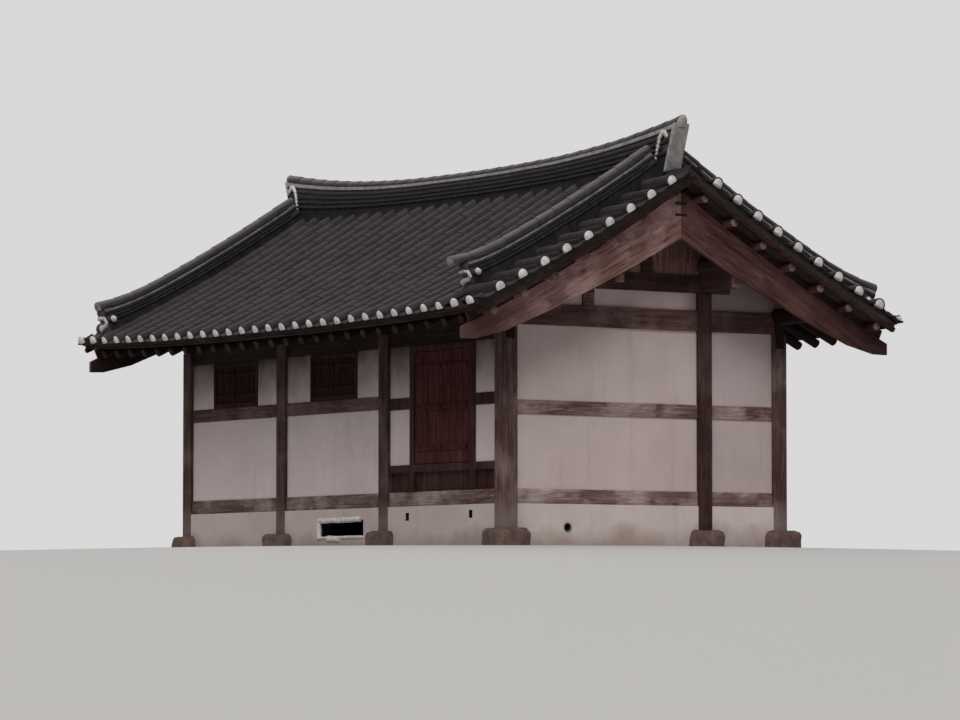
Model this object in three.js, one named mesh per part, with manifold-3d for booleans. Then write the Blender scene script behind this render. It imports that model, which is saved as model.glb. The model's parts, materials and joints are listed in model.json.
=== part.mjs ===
// A small three-bay Korean house (hanok) with a gabled roof, in millimetres, +Z up.
// +X runs along the front towards the door end, the front faces -Y, and the origin is
// on the ground under the middle of the house.
import * as THREE from "three";
import { mergeVertices } from "three/addons/utils/BufferGeometryUtils.js";
import Module from "manifold-3d";

const wasm = await Module();
wasm.setup();

// Driving dimensions of the timber frame, between post centres.
const bayWidths = [2260, 2310, 2430];
const wallDepth = 3780;
const highPostFromRear = 1080;
const postSize = 190;

// Neighbouring pieces stand this far apart; the members of one piece run into each other by overlap.
const gap = 0.3;
const overlap = 1;

// Heights above the ground.
const footingTop = 200;
const baseTop = 480;
const floorBottom = 440;
const floorTop = 600;
const lowerRailTop = 645;
const frontMidRail = [1617, 1772];
const gableMidRail = [1483, 1643];
const lintelBottom = 2330;
const tieBeam = [2490, 2730];
const eavePurlinBottom = 2602;
const upperBeam = [2930, 3130];
const purlinBracketBottom = 2960;
const ridgePurlinBottom = 3555;

// Thicknesses and widths.
const baseThickness = 170;
const footingSize = 340;
const railThickness = 130;
const plasterThickness = 100;
const gableTopThickness = 90;
const beamThickness = 160;
const lintelThickness = 120;
const purlinRadius = 100;
const purlinSides = 12;
const purlinBracketHalf = 60;
const strutWidth = 150;
const upperBeamReach = 1180;

// Packing strips between the purlins and the rafters: how far they stop short of what they follow.
const stripHalf = 45;
const stripInset = 3;
const ridgeStripDrop = 125;
const middleStripDrop = 24;

// The roof: half lengths and overhangs from the wall centre lines, and its curve.
const vergeOverhang = 1016;
const bargeboardOffset = 740;
const bargeboardThickness = 50;
const eaveOverhang = 1097;
const crownHeight = 4220;
const crownSlope = 0.645;
const crownCurve = 0.031e-3;
const curveSteps = 10;
const endLift = 85;
const liftPower = 2.5;
const roofSteps = 12;
const vergeSteps = 2;
const vergeDepth = 165;
const eaveTipRise = 0.5;

// Rafters and the boards on them.
const rafterBreakHeight = 3480;
const boardTopAtRidge = 3930;
const boardEdgeHeight = 2500;
const boardEdgeInset = 147;
const boardThickness = 25;
const rafterRadius = 60;
const rafterSides = 6;
const upperRafterRadius = 55;
const upperRafterSides = 4;
const rafterPitch = 337.5;
const rafterCount = 25;
const rafterSink = 8;
const rafterHeel = 60;
const rafterPast = 15;

// Cover tiles: half-round rows down each slope, and short rows laid sideways on each verge.
const coverRadius = 78;
const coverShoulder = 55;
const coverSink = 15;
const rowPitch = 304.5;
const rowsEachWay = 15;
const vergeRows = { count: 9, first: 320, pitch: 290 };
const eaveStubStart = 2830;
const rowSteps = 6;

// Bargeboards: heights below the tile bed, measured up to the ridge line, and the verge rafters on them.
const bargeTopDrop = 195;
const bargeBottomDrop = 735;
const bargeTaper = 0.1;
const bargeFootInset = 25;
const bargeFootDrop = 325;
const bargeHeel = { u: 2780, drop: 405 };
const bargeCurvePlaces = 9;
const vergeRafters = { count: 7, first: 205, pitch: 410, radius: 48, sides: 10, sink: 6, length: 185 };

// Ridges of stacked tiles.
const ridgeHeight = 385;
const ridgeEndRise = 300;
const ridgeRisePower = 2.6;
const ridgeSink = 60;
const ridgeSteps = 14;
const ridgeBaseHalf = 4020;
const ridgeTopHalf = 4290;
const ridgeHalfWidths = [130, 105];
const descendingOffset = 400;
const descendingHalfWidths = [112, 92];
const descendingHeight = 370;
const descendingSink = 50;
const descendingStart = 60;
const descendingEnd = 2860;
const descendingSteps = 8;
const descendingTip = { from: 2100, rise: 90 };

// The door bay.
const doorWidth = 1170;
const jambWidth = 95;
const doorFrameThickness = 140;
const sillPanelThickness = 50;
const threshold = [870, 958];
const doorHeadBottom = 2260;
const stubRail = [1600, 1735];
const leafThickness = 40;
const leafClearance = 6;
const pivotRadius = 14;
const pivotLength = 20;
const pivotPlay = 0.6;
const pivotSides = 12;
const battenDepth = 15;
const battenHeight = 70;
const battenShares = [0.14, 0.5, 0.86];
const battenHingeInset = 45;
const battenFreeInset = 12;

// Windows over the middle rail, and the holes in the base.
const windowWidth = 1060;
const windowFrameWidth = 60;
const windowDepth = 120;
const shutterThickness = 36;
const shutterInset = 25;
const fireHole = { x: 140, z: 245, width: 980, height: 200 };
const vents = [
  { x: 1585, z: 360, width: 70, height: 90 },
  { x: 2910, z: 370, width: 70, height: 90 },
];
const gableVent = { y: -1112, z: 218, radius: 45, sides: 16 };

// Places worked out from the driving dimensions.
const wallLength = bayWidths.reduce((sum, width) => sum + width, 0);
const halfLength = wallLength / 2;
const halfDepth = wallDepth / 2;
const postX = bayWidths.reduce((places, width) => [...places, places.at(-1) + width], [-halfLength]);
const highPostY = halfDepth - highPostFromRear;
const halfPost = postSize / 2;
const roofHalfLength = halfLength + vergeOverhang;
const roofHalfDepth = halfDepth + eaveOverhang;
const bargeInner = halfLength + bargeboardOffset - bargeboardThickness;
const boardEdge = roofHalfDepth - boardEdgeInset;
const gableEnds = [
  ["near", 1],
  ["far", -1],
];
const mergeDistance = 1e-3;
const purlinZ = {
  eave: eavePurlinBottom + purlinRadius,
  middle: upperBeam[1] + purlinRadius,
  ridge: ridgePurlinBottom + purlinRadius,
};

const materials = {
  timber: () => new THREE.MeshStandardMaterial({ color: 0x5a4642, roughness: 0.85, metalness: 0 }),
  plaster: () => new THREE.MeshStandardMaterial({ color: 0xc4bab8, roughness: 0.95, metalness: 0 }),
  basePlaster: () => new THREE.MeshStandardMaterial({ color: 0xb9aeaa, roughness: 0.95, metalness: 0 }),
  floor: () => new THREE.MeshStandardMaterial({ color: 0x9a8a6c, roughness: 0.8, metalness: 0 }),
  tile: () => new THREE.MeshStandardMaterial({ color: 0x3a383c, roughness: 0.8, metalness: 0 }),
  door: () => new THREE.MeshStandardMaterial({ color: 0x4a2c28, roughness: 0.8, metalness: 0 }),
};

const house = new THREE.Group();

// Solids from three.js geometry, and nodes from solids.

function toSolid(geometry) {
  const bare = geometry.index ? geometry.toNonIndexed() : geometry.clone();
  bare.deleteAttribute("normal");
  bare.deleteAttribute("uv");
  const merged = mergeVertices(bare, mergeDistance);
  return new wasm.Manifold(
    new wasm.Mesh({
      numProp: 3,
      vertProperties: new Float32Array(merged.attributes.position.array),
      triVerts: new Uint32Array(merged.index.array),
    }),
  );
}

function addNode(name, material, solid) {
  const made = solid.getMesh();
  const geometry = new THREE.BufferGeometry();
  geometry.setAttribute("position", new THREE.BufferAttribute(made.vertProperties, 3));
  geometry.setIndex(new THREE.BufferAttribute(made.triVerts, 1));
  geometry.computeVertexNormals();
  const mesh = new THREE.Mesh(geometry, materials[material]());
  mesh.name = name;
  house.add(mesh);
}

const join = (solids) => solids.reduce((whole, next) => whole.add(next));
const cut = (solid, tools) => tools.reduce((left, tool) => left.subtract(tool), solid);

// A box between two corners, larger by grow on every side.
function block([x0, y0, z0], [x1, y1, z1], grow = 0) {
  const size = [x1 - x0, y1 - y0, z1 - z0].map((side) => side + 2 * grow);
  const geometry = new THREE.BoxGeometry(...size);
  geometry.translate((x0 + x1) / 2, (y0 + y1) / 2, (z0 + z1) / 2);
  return toSolid(geometry);
}

// An outline of [y, z] points drawn out along X, in steps that a roof curve can follow.
function alongX(outline, x0, x1, steps = 1) {
  const shape = new THREE.Shape(outline.map(([y, z]) => new THREE.Vector2(y, z)));
  const geometry = new THREE.ExtrudeGeometry(shape, { depth: x1 - x0, steps, bevelEnabled: false });
  const axes = [new THREE.Vector3(0, 1, 0), new THREE.Vector3(0, 0, 1), new THREE.Vector3(1, 0, 0)];
  geometry.applyMatrix4(new THREE.Matrix4().makeBasis(...axes));
  geometry.translate(x0, 0, 0);
  return geometry;
}

// An outline of [x, z] points drawn out along Y.
function alongY(outline, y0, y1, steps = 1) {
  const shape = new THREE.Shape(outline.map(([x, z]) => new THREE.Vector2(x, z)));
  const geometry = new THREE.ExtrudeGeometry(shape, { depth: y1 - y0, steps, bevelEnabled: false });
  const axes = [new THREE.Vector3(1, 0, 0), new THREE.Vector3(0, 0, 1), new THREE.Vector3(0, -1, 0)];
  geometry.applyMatrix4(new THREE.Matrix4().makeBasis(...axes));
  geometry.translate(0, y1, 0);
  return geometry;
}

// Moves each vertex to the place that the function gives for it.
function reshape(geometry, place) {
  const position = geometry.attributes.position;
  for (let i = 0; i < position.count; i += 1) {
    const [x, y, z] = place(position.getX(i), position.getY(i), position.getZ(i));
    position.setXYZ(i, x, y, z);
  }
  return geometry;
}

// A round pole between two points.
function pole(from, to, radius, sides) {
  const start = new THREE.Vector3(...from);
  const end = new THREE.Vector3(...to);
  const direction = end.clone().sub(start);
  const geometry = new THREE.CylinderGeometry(radius, radius, direction.length(), sides);
  const turn = new THREE.Quaternion().setFromUnitVectors(new THREE.Vector3(0, 1, 0), direction.normalize());
  geometry.applyQuaternion(turn);
  const middle = start.add(end).multiplyScalar(0.5);
  geometry.translate(middle.x, middle.y, middle.z);
  return toSolid(geometry);
}

// The roof's curves: u is the distance from the ridge line, in plan.

const crown = (u) => crownHeight - crownSlope * u + crownCurve * u * u;
const crownFall = (u) => crownSlope - 2 * crownCurve * u;
const lift = (x) => endLift * (Math.abs(x) / roofHalfLength) ** liftPower;
const lifted = (x, y, z) => [x, y, z + lift(x)];
const upperSlope = (boardTopAtRidge - rafterBreakHeight) / highPostY;
const lowerSlope = (rafterBreakHeight - boardEdgeHeight) / (boardEdge - highPostY);

function boardTop(u) {
  return u < highPostY ? boardTopAtRidge - upperSlope * u : rafterBreakHeight - lowerSlope * (u - highPostY);
}

const curvePlaces = Array.from({ length: curveSteps + 1 }, (_, i) => (roofHalfDepth * i) / curveSteps);

// Masonry base: a footing stone under each post and a plastered wall between them.

const postPlaces = {
  front: postX.map((x) => [x, -halfDepth]),
  rear: postX.map((x) => [x, halfDepth]),
  near: [[halfLength, highPostY]],
  far: [[-halfLength, highPostY]],
};

function postBlock([x, y], z0, z1, grow = 0) {
  return block([x - halfPost, y - halfPost, z0], [x + halfPost, y + halfPost, z1], grow);
}

function footing([x, y]) {
  const half = footingSize / 2;
  return block([x - half, y - half, 0], [x + half, y + half, footingTop - gap]);
}

function longBase(side) {
  const y = side * halfDepth;
  const halfBase = baseThickness / 2;
  const places = side < 0 ? postPlaces.front : postPlaces.rear;
  const end = halfLength + halfBase;
  const wall = block([-end, y - halfBase, 0], [end, y + halfBase, baseTop]);
  const posts = places.map((place) => postBlock(place, footingTop - gap, baseTop + overlap, gap));
  return cut(wall, posts).add(join(places.map(footing)));
}

function frontBase() {
  const holes = [fireHole, ...vents].map(({ x, z, width, height }) =>
    block(
      [x - width / 2, -halfDepth - baseThickness, z - height / 2],
      [x + width / 2, -halfDepth + baseThickness, z + height / 2],
    ),
  );
  return cut(longBase(-1), holes);
}

function gableBase(side) {
  const x = side * halfLength;
  const halfBase = baseThickness / 2;
  const betweenFootings = halfDepth - footingSize / 2 - gap;
  const betweenPosts = halfDepth - halfPost - gap;
  const lower = block([x - halfBase, -betweenFootings, 0], [x + halfBase, betweenFootings, baseTop]);
  const upper = block([x - halfBase, -betweenPosts, footingTop + gap], [x + halfBase, betweenPosts, baseTop]);
  const place = side > 0 ? postPlaces.near[0] : postPlaces.far[0];
  const whole = cut(lower.add(upper), [postBlock(place, footingTop - gap, baseTop + overlap, gap)]);
  return whole.add(footing(place));
}

function ventPipe() {
  const { y, z, radius, sides } = gableVent;
  return pole([halfLength - baseThickness, y, z], [halfLength + baseThickness, y, z], radius, sides);
}

addNode("front_base", "basePlaster", frontBase());
addNode("rear_base", "basePlaster", longBase(1));
addNode("near_gable_base", "basePlaster", gableBase(1).subtract(ventPipe()));
addNode("far_gable_base", "basePlaster", gableBase(-1));

function raisedFloor() {
  const x = halfLength - baseThickness / 2 - gap;
  const y = halfDepth - baseThickness / 2 - gap;
  const places = Object.values(postPlaces).flat();
  const posts = places.map((place) => postBlock(place, floorBottom - overlap, floorTop + overlap, gap));
  return cut(block([-x, -y, floorBottom], [x, y, floorTop]), posts);
}

addNode("raised_floor", "floor", raisedFloor());

// Rafters on roof boards, one frame for each slope. Side is -1 in front and 1 behind.

const rafterHalfHeight = rafterRadius * Math.hypot(1, lowerSlope);
const rafterDrop = boardThickness + rafterHalfHeight - rafterSink;

function rafterFrame(side, grow = 0) {
  const bottom = (u) => boardTop(u) - boardThickness - grow;
  const outline = [
    [gap / 2 - grow / 2, boardTop(0)],
    [highPostY, boardTop(highPostY)],
    [boardEdge, boardTop(boardEdge)],
    [boardEdge, bottom(boardEdge)],
    [highPostY, bottom(highPostY)],
    [gap / 2 - grow / 2, bottom(0)],
  ].map(([u, z]) => [side * u, z]);
  const end = bargeInner - gap;
  const boards = toSolid(reshape(alongX(outline, -end, end, roofSteps), lifted));
  const rafters = [];
  for (let i = 0; i < rafterCount; i += 1) {
    const x = (i - (rafterCount - 1) / 2) * rafterPitch;
    const point = (u) => [x, side * u, boardTop(u) + lift(x) - rafterDrop];
    const lowerEnds = [point(highPostY - rafterHeel - grow), point(boardEdge + rafterPast + grow)];
    const upperEnds = [point(rafterRadius - grow), point(highPostY + grow)];
    rafters.push(pole(...lowerEnds, rafterRadius + grow, rafterSides));
    rafters.push(pole(...upperEnds, upperRafterRadius + grow, upperRafterSides));
  }
  return join([boards, ...rafters]);
}

const rafterCutters = [rafterFrame(-1, gap), rafterFrame(1, gap)];
addNode("front_rafters", "timber", rafterFrame(-1));
addNode("rear_rafters", "timber", rafterFrame(1));

// Purlins run the whole length to the bargeboards, with a packing strip that follows the lifted ends.

function purlin(y, z, stripTop, grow = 0) {
  const end = bargeInner - gap;
  const round = pole([-end, y, z], [end, y, z], purlinRadius + grow, purlinSides);
  const half = stripHalf + grow;
  const outline = [
    [y - half, z],
    [y + half, z],
    [y + half, stripTop + grow],
    [y - half, stripTop + grow],
  ];
  const follow = (x, py, pz) => [x, py, pz > z ? pz + lift(x) : pz];
  const stripEnd = bargeInner - stripInset;
  return round.add(toSolid(reshape(alongX(outline, -stripEnd, stripEnd, roofSteps), follow)));
}

const rafterBottom = (u) => boardTop(u) - rafterDrop - rafterHalfHeight;
const ridgeStripTop = boardTop(0) - boardThickness - ridgeStripDrop;
const middleStripTop = rafterBottom(highPostY) - middleStripDrop;

// A middle purlin with the square timber that shows under each projecting end.
function middlePurlin(side) {
  const y = side * highPostY;
  const [y0, y1] = [y - purlinBracketHalf, y + purlinBracketHalf];
  const start = halfLength + beamThickness / 2 + gap;
  const stop = bargeInner - stripInset;
  const brackets = [
    block([start, y0, purlinBracketBottom], [stop, y1, purlinZ.middle]),
    block([-stop, y0, purlinBracketBottom], [-start, y1, purlinZ.middle]),
  ];
  return cut(join([purlin(y, purlinZ.middle, middleStripTop), ...brackets]), rafterCutters);
}

function eaveBeam(side, grow = 0) {
  const y = side * halfDepth;
  const half = lintelThickness / 2;
  const end = halfLength + halfPost;
  const lintel = block([-end, y - half, lintelBottom], [end, y + half, purlinZ.eave], grow);
  const stripTop = boardTop(halfDepth + stripHalf) - boardThickness / 4;
  const whole = lintel.add(purlin(y, purlinZ.eave, stripTop, grow));
  return cut(whole, rafterCutters);
}

const purlinCutters = [
  purlin(0, purlinZ.ridge, ridgeStripTop, gap),
  purlin(-highPostY, purlinZ.middle, middleStripTop, gap),
  purlin(highPostY, purlinZ.middle, middleStripTop, gap),
];
const eaveCutters = [-1, 1].map((side) => eaveBeam(side, gap));
addNode("ridge_purlin", "timber", cut(purlin(0, purlinZ.ridge, ridgeStripTop), rafterCutters));
addNode("front_middle_purlin", "timber", middlePurlin(-1));
addNode("rear_middle_purlin", "timber", middlePurlin(1));
addNode("front_eave_beam", "timber", eaveBeam(-1));
addNode("rear_eave_beam", "timber", eaveBeam(1));

// Cross frames: a tie beam, an upper beam on short posts, and a king post under the ridge.

function crossFrame(x, isGable, grow = 0) {
  const half = beamThickness / 2;
  const reach = halfDepth - lintelThickness / 2 - gap;
  const strut = (y, z0, z1) =>
    block([x - half, y - strutWidth / 2, z0], [x + half, y + strutWidth / 2, z1], grow);
  const members = [
    block([x - half, -reach, tieBeam[0]], [x + half, reach, tieBeam[1]], grow),
    block([x - half, -upperBeamReach, upperBeam[0]], [x + half, upperBeamReach, upperBeam[1] - gap], grow),
    strut(-highPostY, tieBeam[1] - overlap, upperBeam[0] + overlap),
    strut(0, upperBeam[1] - overlap, purlinZ.ridge),
  ];
  if (!isGable) members.push(strut(highPostY, tieBeam[1] - overlap, upperBeam[0] + overlap));
  return cut(join(members), [...eaveCutters, ...purlinCutters]);
}

// The plaster over a gable's tie beam fills the frame up to the roof boards.
function gableTop(side, grow = 0) {
  const x = side * halfLength;
  const half = gableTopThickness / 2 + grow;
  const edge = halfDepth - stripHalf - gap;
  const top = (u) => boardTop(u) - boardThickness + lift(x) + rafterSink;
  const outline = [
    [-edge, tieBeam[1] + gap - grow],
    [edge, tieBeam[1] + gap - grow],
    [edge, top(edge)],
    [highPostY, top(highPostY)],
    [0, top(0)],
    [-highPostY, top(highPostY)],
    [-edge, top(edge)],
  ];
  const slab = toSolid(alongX(outline, x - half, x + half));
  return cut(slab, [...eaveCutters, ...purlinCutters, ...rafterCutters]);
}

for (const [name, side] of gableEnds) {
  addNode(`${name}_gable_frame`, "timber", crossFrame(side * halfLength, true).subtract(gableTop(side, gap)));
  addNode(`${name}_gable_top`, "plaster", gableTop(side));
}
addNode("inner_frame_1", "timber", crossFrame(postX[1], false));
addNode("inner_frame_2", "timber", crossFrame(postX[2], false));

// Plaster walls, one slab a bay, between the posts and under the beams.

const bays = postX.slice(0, 3).map((x, i) => [x + halfPost + gap, postX[i + 1] - halfPost - gap]);
const gableBays = [
  [-halfDepth + halfPost + gap, highPostY - halfPost - gap],
  [highPostY + halfPost + gap, halfDepth - halfPost - gap],
];
const doorMiddle = (bays[2][0] + bays[2][1]) / 2;
const frameHalf = doorWidth / 2 + jambWidth;

function longSlab(side, [x0, x1], z0, z1, grow = 0) {
  const y = side * halfDepth;
  const half = plasterThickness / 2;
  return block([x0, y - half, z0], [x1, y + half, z1], grow);
}

function gableSlab(side, [y0, y1], grow = 0) {
  const x = side * halfLength;
  const half = plasterThickness / 2;
  return block([x - half, y0, baseTop + gap], [x + half, y1, tieBeam[0] - gap], grow);
}

function windowPlace(bay) {
  const middle = (bay[0] + bay[1]) / 2;
  return [middle - windowWidth / 2, middle + windowWidth / 2];
}

function windowWall(bay, grow = 0) {
  const [w0, w1] = windowPlace(bay);
  const slab = longSlab(-1, bay, baseTop + gap, lintelBottom - gap, grow);
  const y = -halfDepth;
  const low = [w0 - gap, y - windowDepth, frontMidRail[1]];
  const high = [w1 + gap, y + windowDepth, lintelBottom + overlap];
  return cut(slab, [block(low, high)]);
}

const doorSideSpans = [
  [bays[2][0], doorMiddle - frameHalf - gap],
  [doorMiddle + frameHalf + gap, bays[2][1]],
];
const doorSide = (span, grow = 0) => longSlab(-1, span, threshold[1] + gap, lintelBottom - gap, grow);

addNode("front_wall_1", "plaster", windowWall(bays[0]));
addNode("front_wall_2", "plaster", windowWall(bays[1]));
addNode("door_side_wall_left", "plaster", doorSide(doorSideSpans[0]));
addNode("door_side_wall_right", "plaster", doorSide(doorSideSpans[1]));
const rearSlab = (bay, grow = 0) => longSlab(1, bay, baseTop + gap, lintelBottom - gap, grow);
bays.forEach((bay, i) => addNode(`rear_wall_${i + 1}`, "plaster", rearSlab(bay)));
for (const [name, side] of gableEnds) {
  addNode(`${name}_wall_main`, "plaster", gableSlab(side, gableBays[0]));
  addNode(`${name}_wall_rear`, "plaster", gableSlab(side, gableBays[1]));
}

// Rails run through the middle posts, and the plaster slabs pass through them.

const railHalf = railThickness / 2;
const lowerRail = [baseTop + gap, lowerRailTop];

function longRail(side, [x0, x1], [z0, z1], grow = 0) {
  const y = side * halfDepth;
  return block([x0, y - railHalf, z0], [x1, y + railHalf, z1], grow);
}

function gableRail(side, [z0, z1], grow = 0) {
  const x = side * halfLength;
  const reach = halfDepth - halfPost - gap;
  return block([x - railHalf, -reach, z0], [x + railHalf, reach, z1], grow);
}

const wholeFront = [bays[0][0], bays[2][1]];
const windowFront = [bays[0][0], bays[1][1]];
const rails = [
  {
    name: "front_lower_rail",
    make: (grow) => longRail(-1, wholeFront, lowerRail, grow),
    slabs: [windowWall(bays[0], gap), windowWall(bays[1], gap)],
  },
  {
    name: "front_middle_rail",
    make: (grow) => longRail(-1, windowFront, frontMidRail, grow),
    slabs: [windowWall(bays[0], gap), windowWall(bays[1], gap)],
  },
  {
    name: "rear_lower_rail",
    make: (grow) => longRail(1, wholeFront, lowerRail, grow),
    slabs: bays.map((bay) => rearSlab(bay, gap)),
  },
  {
    name: "rear_middle_rail",
    make: (grow) => longRail(1, wholeFront, frontMidRail, grow),
    slabs: bays.map((bay) => rearSlab(bay, gap)),
  },
  ...gableEnds.flatMap(([end, side]) => [
    {
      name: `${end}_lower_rail`,
      make: (grow) => gableRail(side, lowerRail, grow),
      slabs: gableBays.map((bay) => gableSlab(side, bay, gap)),
    },
    {
      name: `${end}_middle_rail`,
      make: (grow) => gableRail(side, gableMidRail, grow),
      slabs: gableBays.map((bay) => gableSlab(side, bay, gap)),
    },
  ]),
];
rails.forEach(({ name, make, slabs }) => addNode(name, "timber", cut(make(0), slabs)));

// Posts stand on the footing stones and are mortised for the rails and beams.

const railCutters = rails.map(({ make }) => make(gap));

function lowPost(place) {
  return cut(postBlock(place, footingTop, tieBeam[0] - gap), [...railCutters, ...eaveCutters]);
}

function highPost(side) {
  const place = side > 0 ? postPlaces.near[0] : postPlaces.far[0];
  const frame = crossFrame(side * halfLength, true, gap);
  return cut(postBlock(place, footingTop, upperBeam[0] - gap), [...railCutters, frame, gableTop(side, gap)]);
}

postPlaces.front.forEach((place, i) => addNode(`front_post_${i + 1}`, "timber", lowPost(place)));
postPlaces.rear.forEach((place, i) => addNode(`rear_post_${i + 1}`, "timber", lowPost(place)));
addNode("near_high_post", "timber", highPost(1));
addNode("far_high_post", "timber", highPost(-1));

// The door frame: threshold over a board panel, jambs, head, and stub rails to the posts.

const doorOuter = -halfDepth - doorFrameThickness / 2;
const pivotInset = leafThickness / 2 + leafClearance;
const pivotY = doorOuter + pivotInset;
const pivotX = [-1, 1].map((side) => doorMiddle + side * (doorWidth / 2 - pivotInset));

function doorFrame() {
  const y = -halfDepth;
  const half = doorFrameThickness / 2;
  const [left, right] = bays[2];
  const member = (x0, x1, z0, z1, reach = half) => block([x0, y - reach, z0], [x1, y + reach, z1]);
  const members = [
    member(left, right, lowerRailTop + gap, threshold[0] + overlap, sillPanelThickness / 2),
    member(left, right, threshold[0], threshold[1]),
    member(doorMiddle - frameHalf, doorMiddle + frameHalf, doorHeadBottom, lintelBottom - gap),
  ];
  for (const side of [-1, 1]) {
    const inner = doorMiddle + (side * doorWidth) / 2;
    const outer = doorMiddle + side * frameHalf;
    const [x0, x1] = [Math.min(inner, outer), Math.max(inner, outer)];
    members.push(member(x0, x1, lowerRailTop + gap, lintelBottom - gap));
    const edge = side < 0 ? left : right;
    const [s0, s1] = [Math.min(outer, edge), Math.max(outer, edge)];
    members.push(member(s0, s1, stubRail[0], stubRail[1], railHalf));
  }
  const socket = (x, z0, z1) => pole([x, pivotY, z0], [x, pivotY, z1], pivotRadius + pivotPlay, pivotSides);
  const sockets = pivotX.flatMap((x) => [
    socket(x, threshold[1] - pivotLength, threshold[1] + overlap),
    socket(x, doorHeadBottom - overlap, doorHeadBottom + pivotLength),
  ]);
  return cut(join(members), [...sockets, ...doorSideSpans.map((span) => doorSide(span, gap))]);
}

addNode("door_frame", "timber", doorFrame());

// A plank leaf with a rounded hinge edge that turns on two wooden pivots. Side is -1 for the left leaf.
function doorLeaf(side) {
  const axisX = side < 0 ? pivotX[0] : pivotX[1];
  const free = doorMiddle + (side * leafClearance) / 2;
  const [x0, x1] = [Math.min(axisX, free), Math.max(axisX, free)];
  const z0 = threshold[1] + leafClearance;
  const z1 = doorHeadBottom - leafClearance;
  const half = leafThickness / 2;
  const upright = (foot, head, radius) =>
    pole([axisX, pivotY, foot], [axisX, pivotY, head], radius, pivotSides);
  const members = [
    block([x0, pivotY - half, z0], [x1, pivotY + half, z1]),
    upright(z0, z1, half),
    upright(threshold[1] - pivotLength + gap, z1 + pivotLength - overlap, pivotRadius),
  ];
  const [leftInset, rightInset] =
    side < 0 ? [battenHingeInset, battenFreeInset] : [battenFreeInset, battenHingeInset];
  for (const share of battenShares) {
    const z = z0 + share * (z1 - z0);
    const low = [x0 + leftInset, pivotY - half - battenDepth, z - battenHeight / 2];
    const high = [x1 - rightInset, pivotY - half + overlap, z + battenHeight / 2];
    members.push(block(low, high));
  }
  return join(members);
}

addNode("door_leaf_left", "door", doorLeaf(-1));
addNode("door_leaf_right", "door", doorLeaf(1));

// Windows over the middle rail: a frame closed by a pair of board shutters.

function shutteredWindow(bay) {
  const [w0, w1] = windowPlace(bay);
  const y = -halfDepth;
  const half = windowDepth / 2;
  const [z0, z1] = [frontMidRail[1] + gap, lintelBottom - gap];
  const frame = block([w0, y - half, z0], [w1, y + half, z1]);
  const edge = windowFrameWidth;
  const pocket = (y0, y1) => block([w0 + edge, y0, z0 + edge], [w1 - edge, y1, z1 - edge]);
  const shutterFace = y - half + shutterInset;
  const outside = pocket(y - half - overlap, shutterFace);
  const inside = pocket(shutterFace + shutterThickness, y + half + overlap);
  return cut(frame, [outside, inside]);
}

addNode("window_1", "door", shutteredWindow(bays[0]));
addNode("window_2", "door", shutteredWindow(bays[1]));

// Tiled slopes: a bed of mud and tile over the boards, with a thin eave and verge, and rows of cover tiles.

function tileBed(side, raise = 0) {
  const top = curvePlaces.map((u) => [Math.max(u, gap / 2), crown(u) + raise]);
  const tip = [roofHalfDepth, boardEdgeHeight + gap + eaveTipRise];
  const main = [
    ...top,
    tip,
    [boardEdge, boardEdgeHeight + gap],
    [highPostY, rafterBreakHeight + gap],
    [gap / 2, boardTopAtRidge + gap],
  ];
  const underVerge = curvePlaces.slice(0, -1).reverse();
  const verge = [...top, tip, ...underVerge.map((u) => [Math.max(u, gap / 2), crown(u) - vergeDepth])];
  const drawn = (outline, x0, x1, steps) => {
    const placed = outline.map(([u, z]) => [side * u, z]);
    return toSolid(reshape(alongX(placed, x0, x1, steps), lifted));
  };
  return join([
    drawn(main, -bargeInner, bargeInner, roofSteps),
    drawn(verge, bargeInner, roofHalfLength, vergeSteps),
    drawn(verge, -roofHalfLength, -bargeInner, vergeSteps),
  ]);
}

const coverSection = [
  [-coverRadius, -coverSink],
  [coverRadius, -coverSink],
  [coverShoulder, coverShoulder],
  [0, coverRadius],
  [-coverShoulder, coverShoulder],
];

// The section of a row at x, cut off at the foot of a descending ridge that stands on its outer half.
function rowSection(x) {
  const limit = halfLength + descendingOffset - descendingHalfWidths[0] - gap - Math.abs(x);
  const outward = Math.sign(x);
  if (limit > coverRadius || limit < -coverRadius) return coverSection.map(([dx, dz]) => [x + dx, dz]);
  const cutHeight = coverRadius + ((coverRadius - coverShoulder) / coverShoulder) * limit;
  const kept = [
    [-coverRadius, -coverSink],
    [limit, -coverSink],
    [limit, cutHeight],
    [-coverShoulder, coverShoulder],
  ];
  const section = kept.map(([dx, dz]) => [x + outward * dx, dz]);
  return outward > 0 ? section : section.reverse();
}

function coverRows(side) {
  const ridgeFoot = halfLength + descendingOffset + descendingHalfWidths[0] + gap;
  const onSlope = (x, y, z) => {
    const u = Math.abs(y);
    return [x, y, crown(u) + lift(x) + z * Math.hypot(1, crownFall(u))];
  };
  const rows = [];
  for (let i = 0; i < 2 * rowsEachWay; i += 1) {
    const x = (i + 0.5 - rowsEachWay) * rowPitch;
    const beside = Math.abs(x) > ridgeFoot;
    const start = beside ? eaveStubStart : ridgeHalfWidths[0] + gap;
    const [y0, y1] = side < 0 ? [-roofHalfDepth, -start] : [start, roofHalfDepth];
    rows.push(toSolid(reshape(alongY(rowSection(x), y0, y1, beside ? 1 : rowSteps), onSlope)));
  }
  for (let i = 0; i < vergeRows.count; i += 1) {
    const middle = vergeRows.first + i * vergeRows.pitch;
    const angle = Math.atan(crownFall(middle));
    const [along, down] = [Math.cos(angle), Math.sin(angle)];
    const section = coverSection.map(([du, dz]) => [
      side * (middle + du * along + dz * down),
      crown(middle) - du * down + dz * along,
    ]);
    rows.push(toSolid(reshape(alongX(section, ridgeFoot, roofHalfLength, vergeSteps), lifted)));
    rows.push(toSolid(reshape(alongX(section, -roofHalfLength, -ridgeFoot, vergeSteps), lifted)));
  }
  return join(rows);
}

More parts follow.
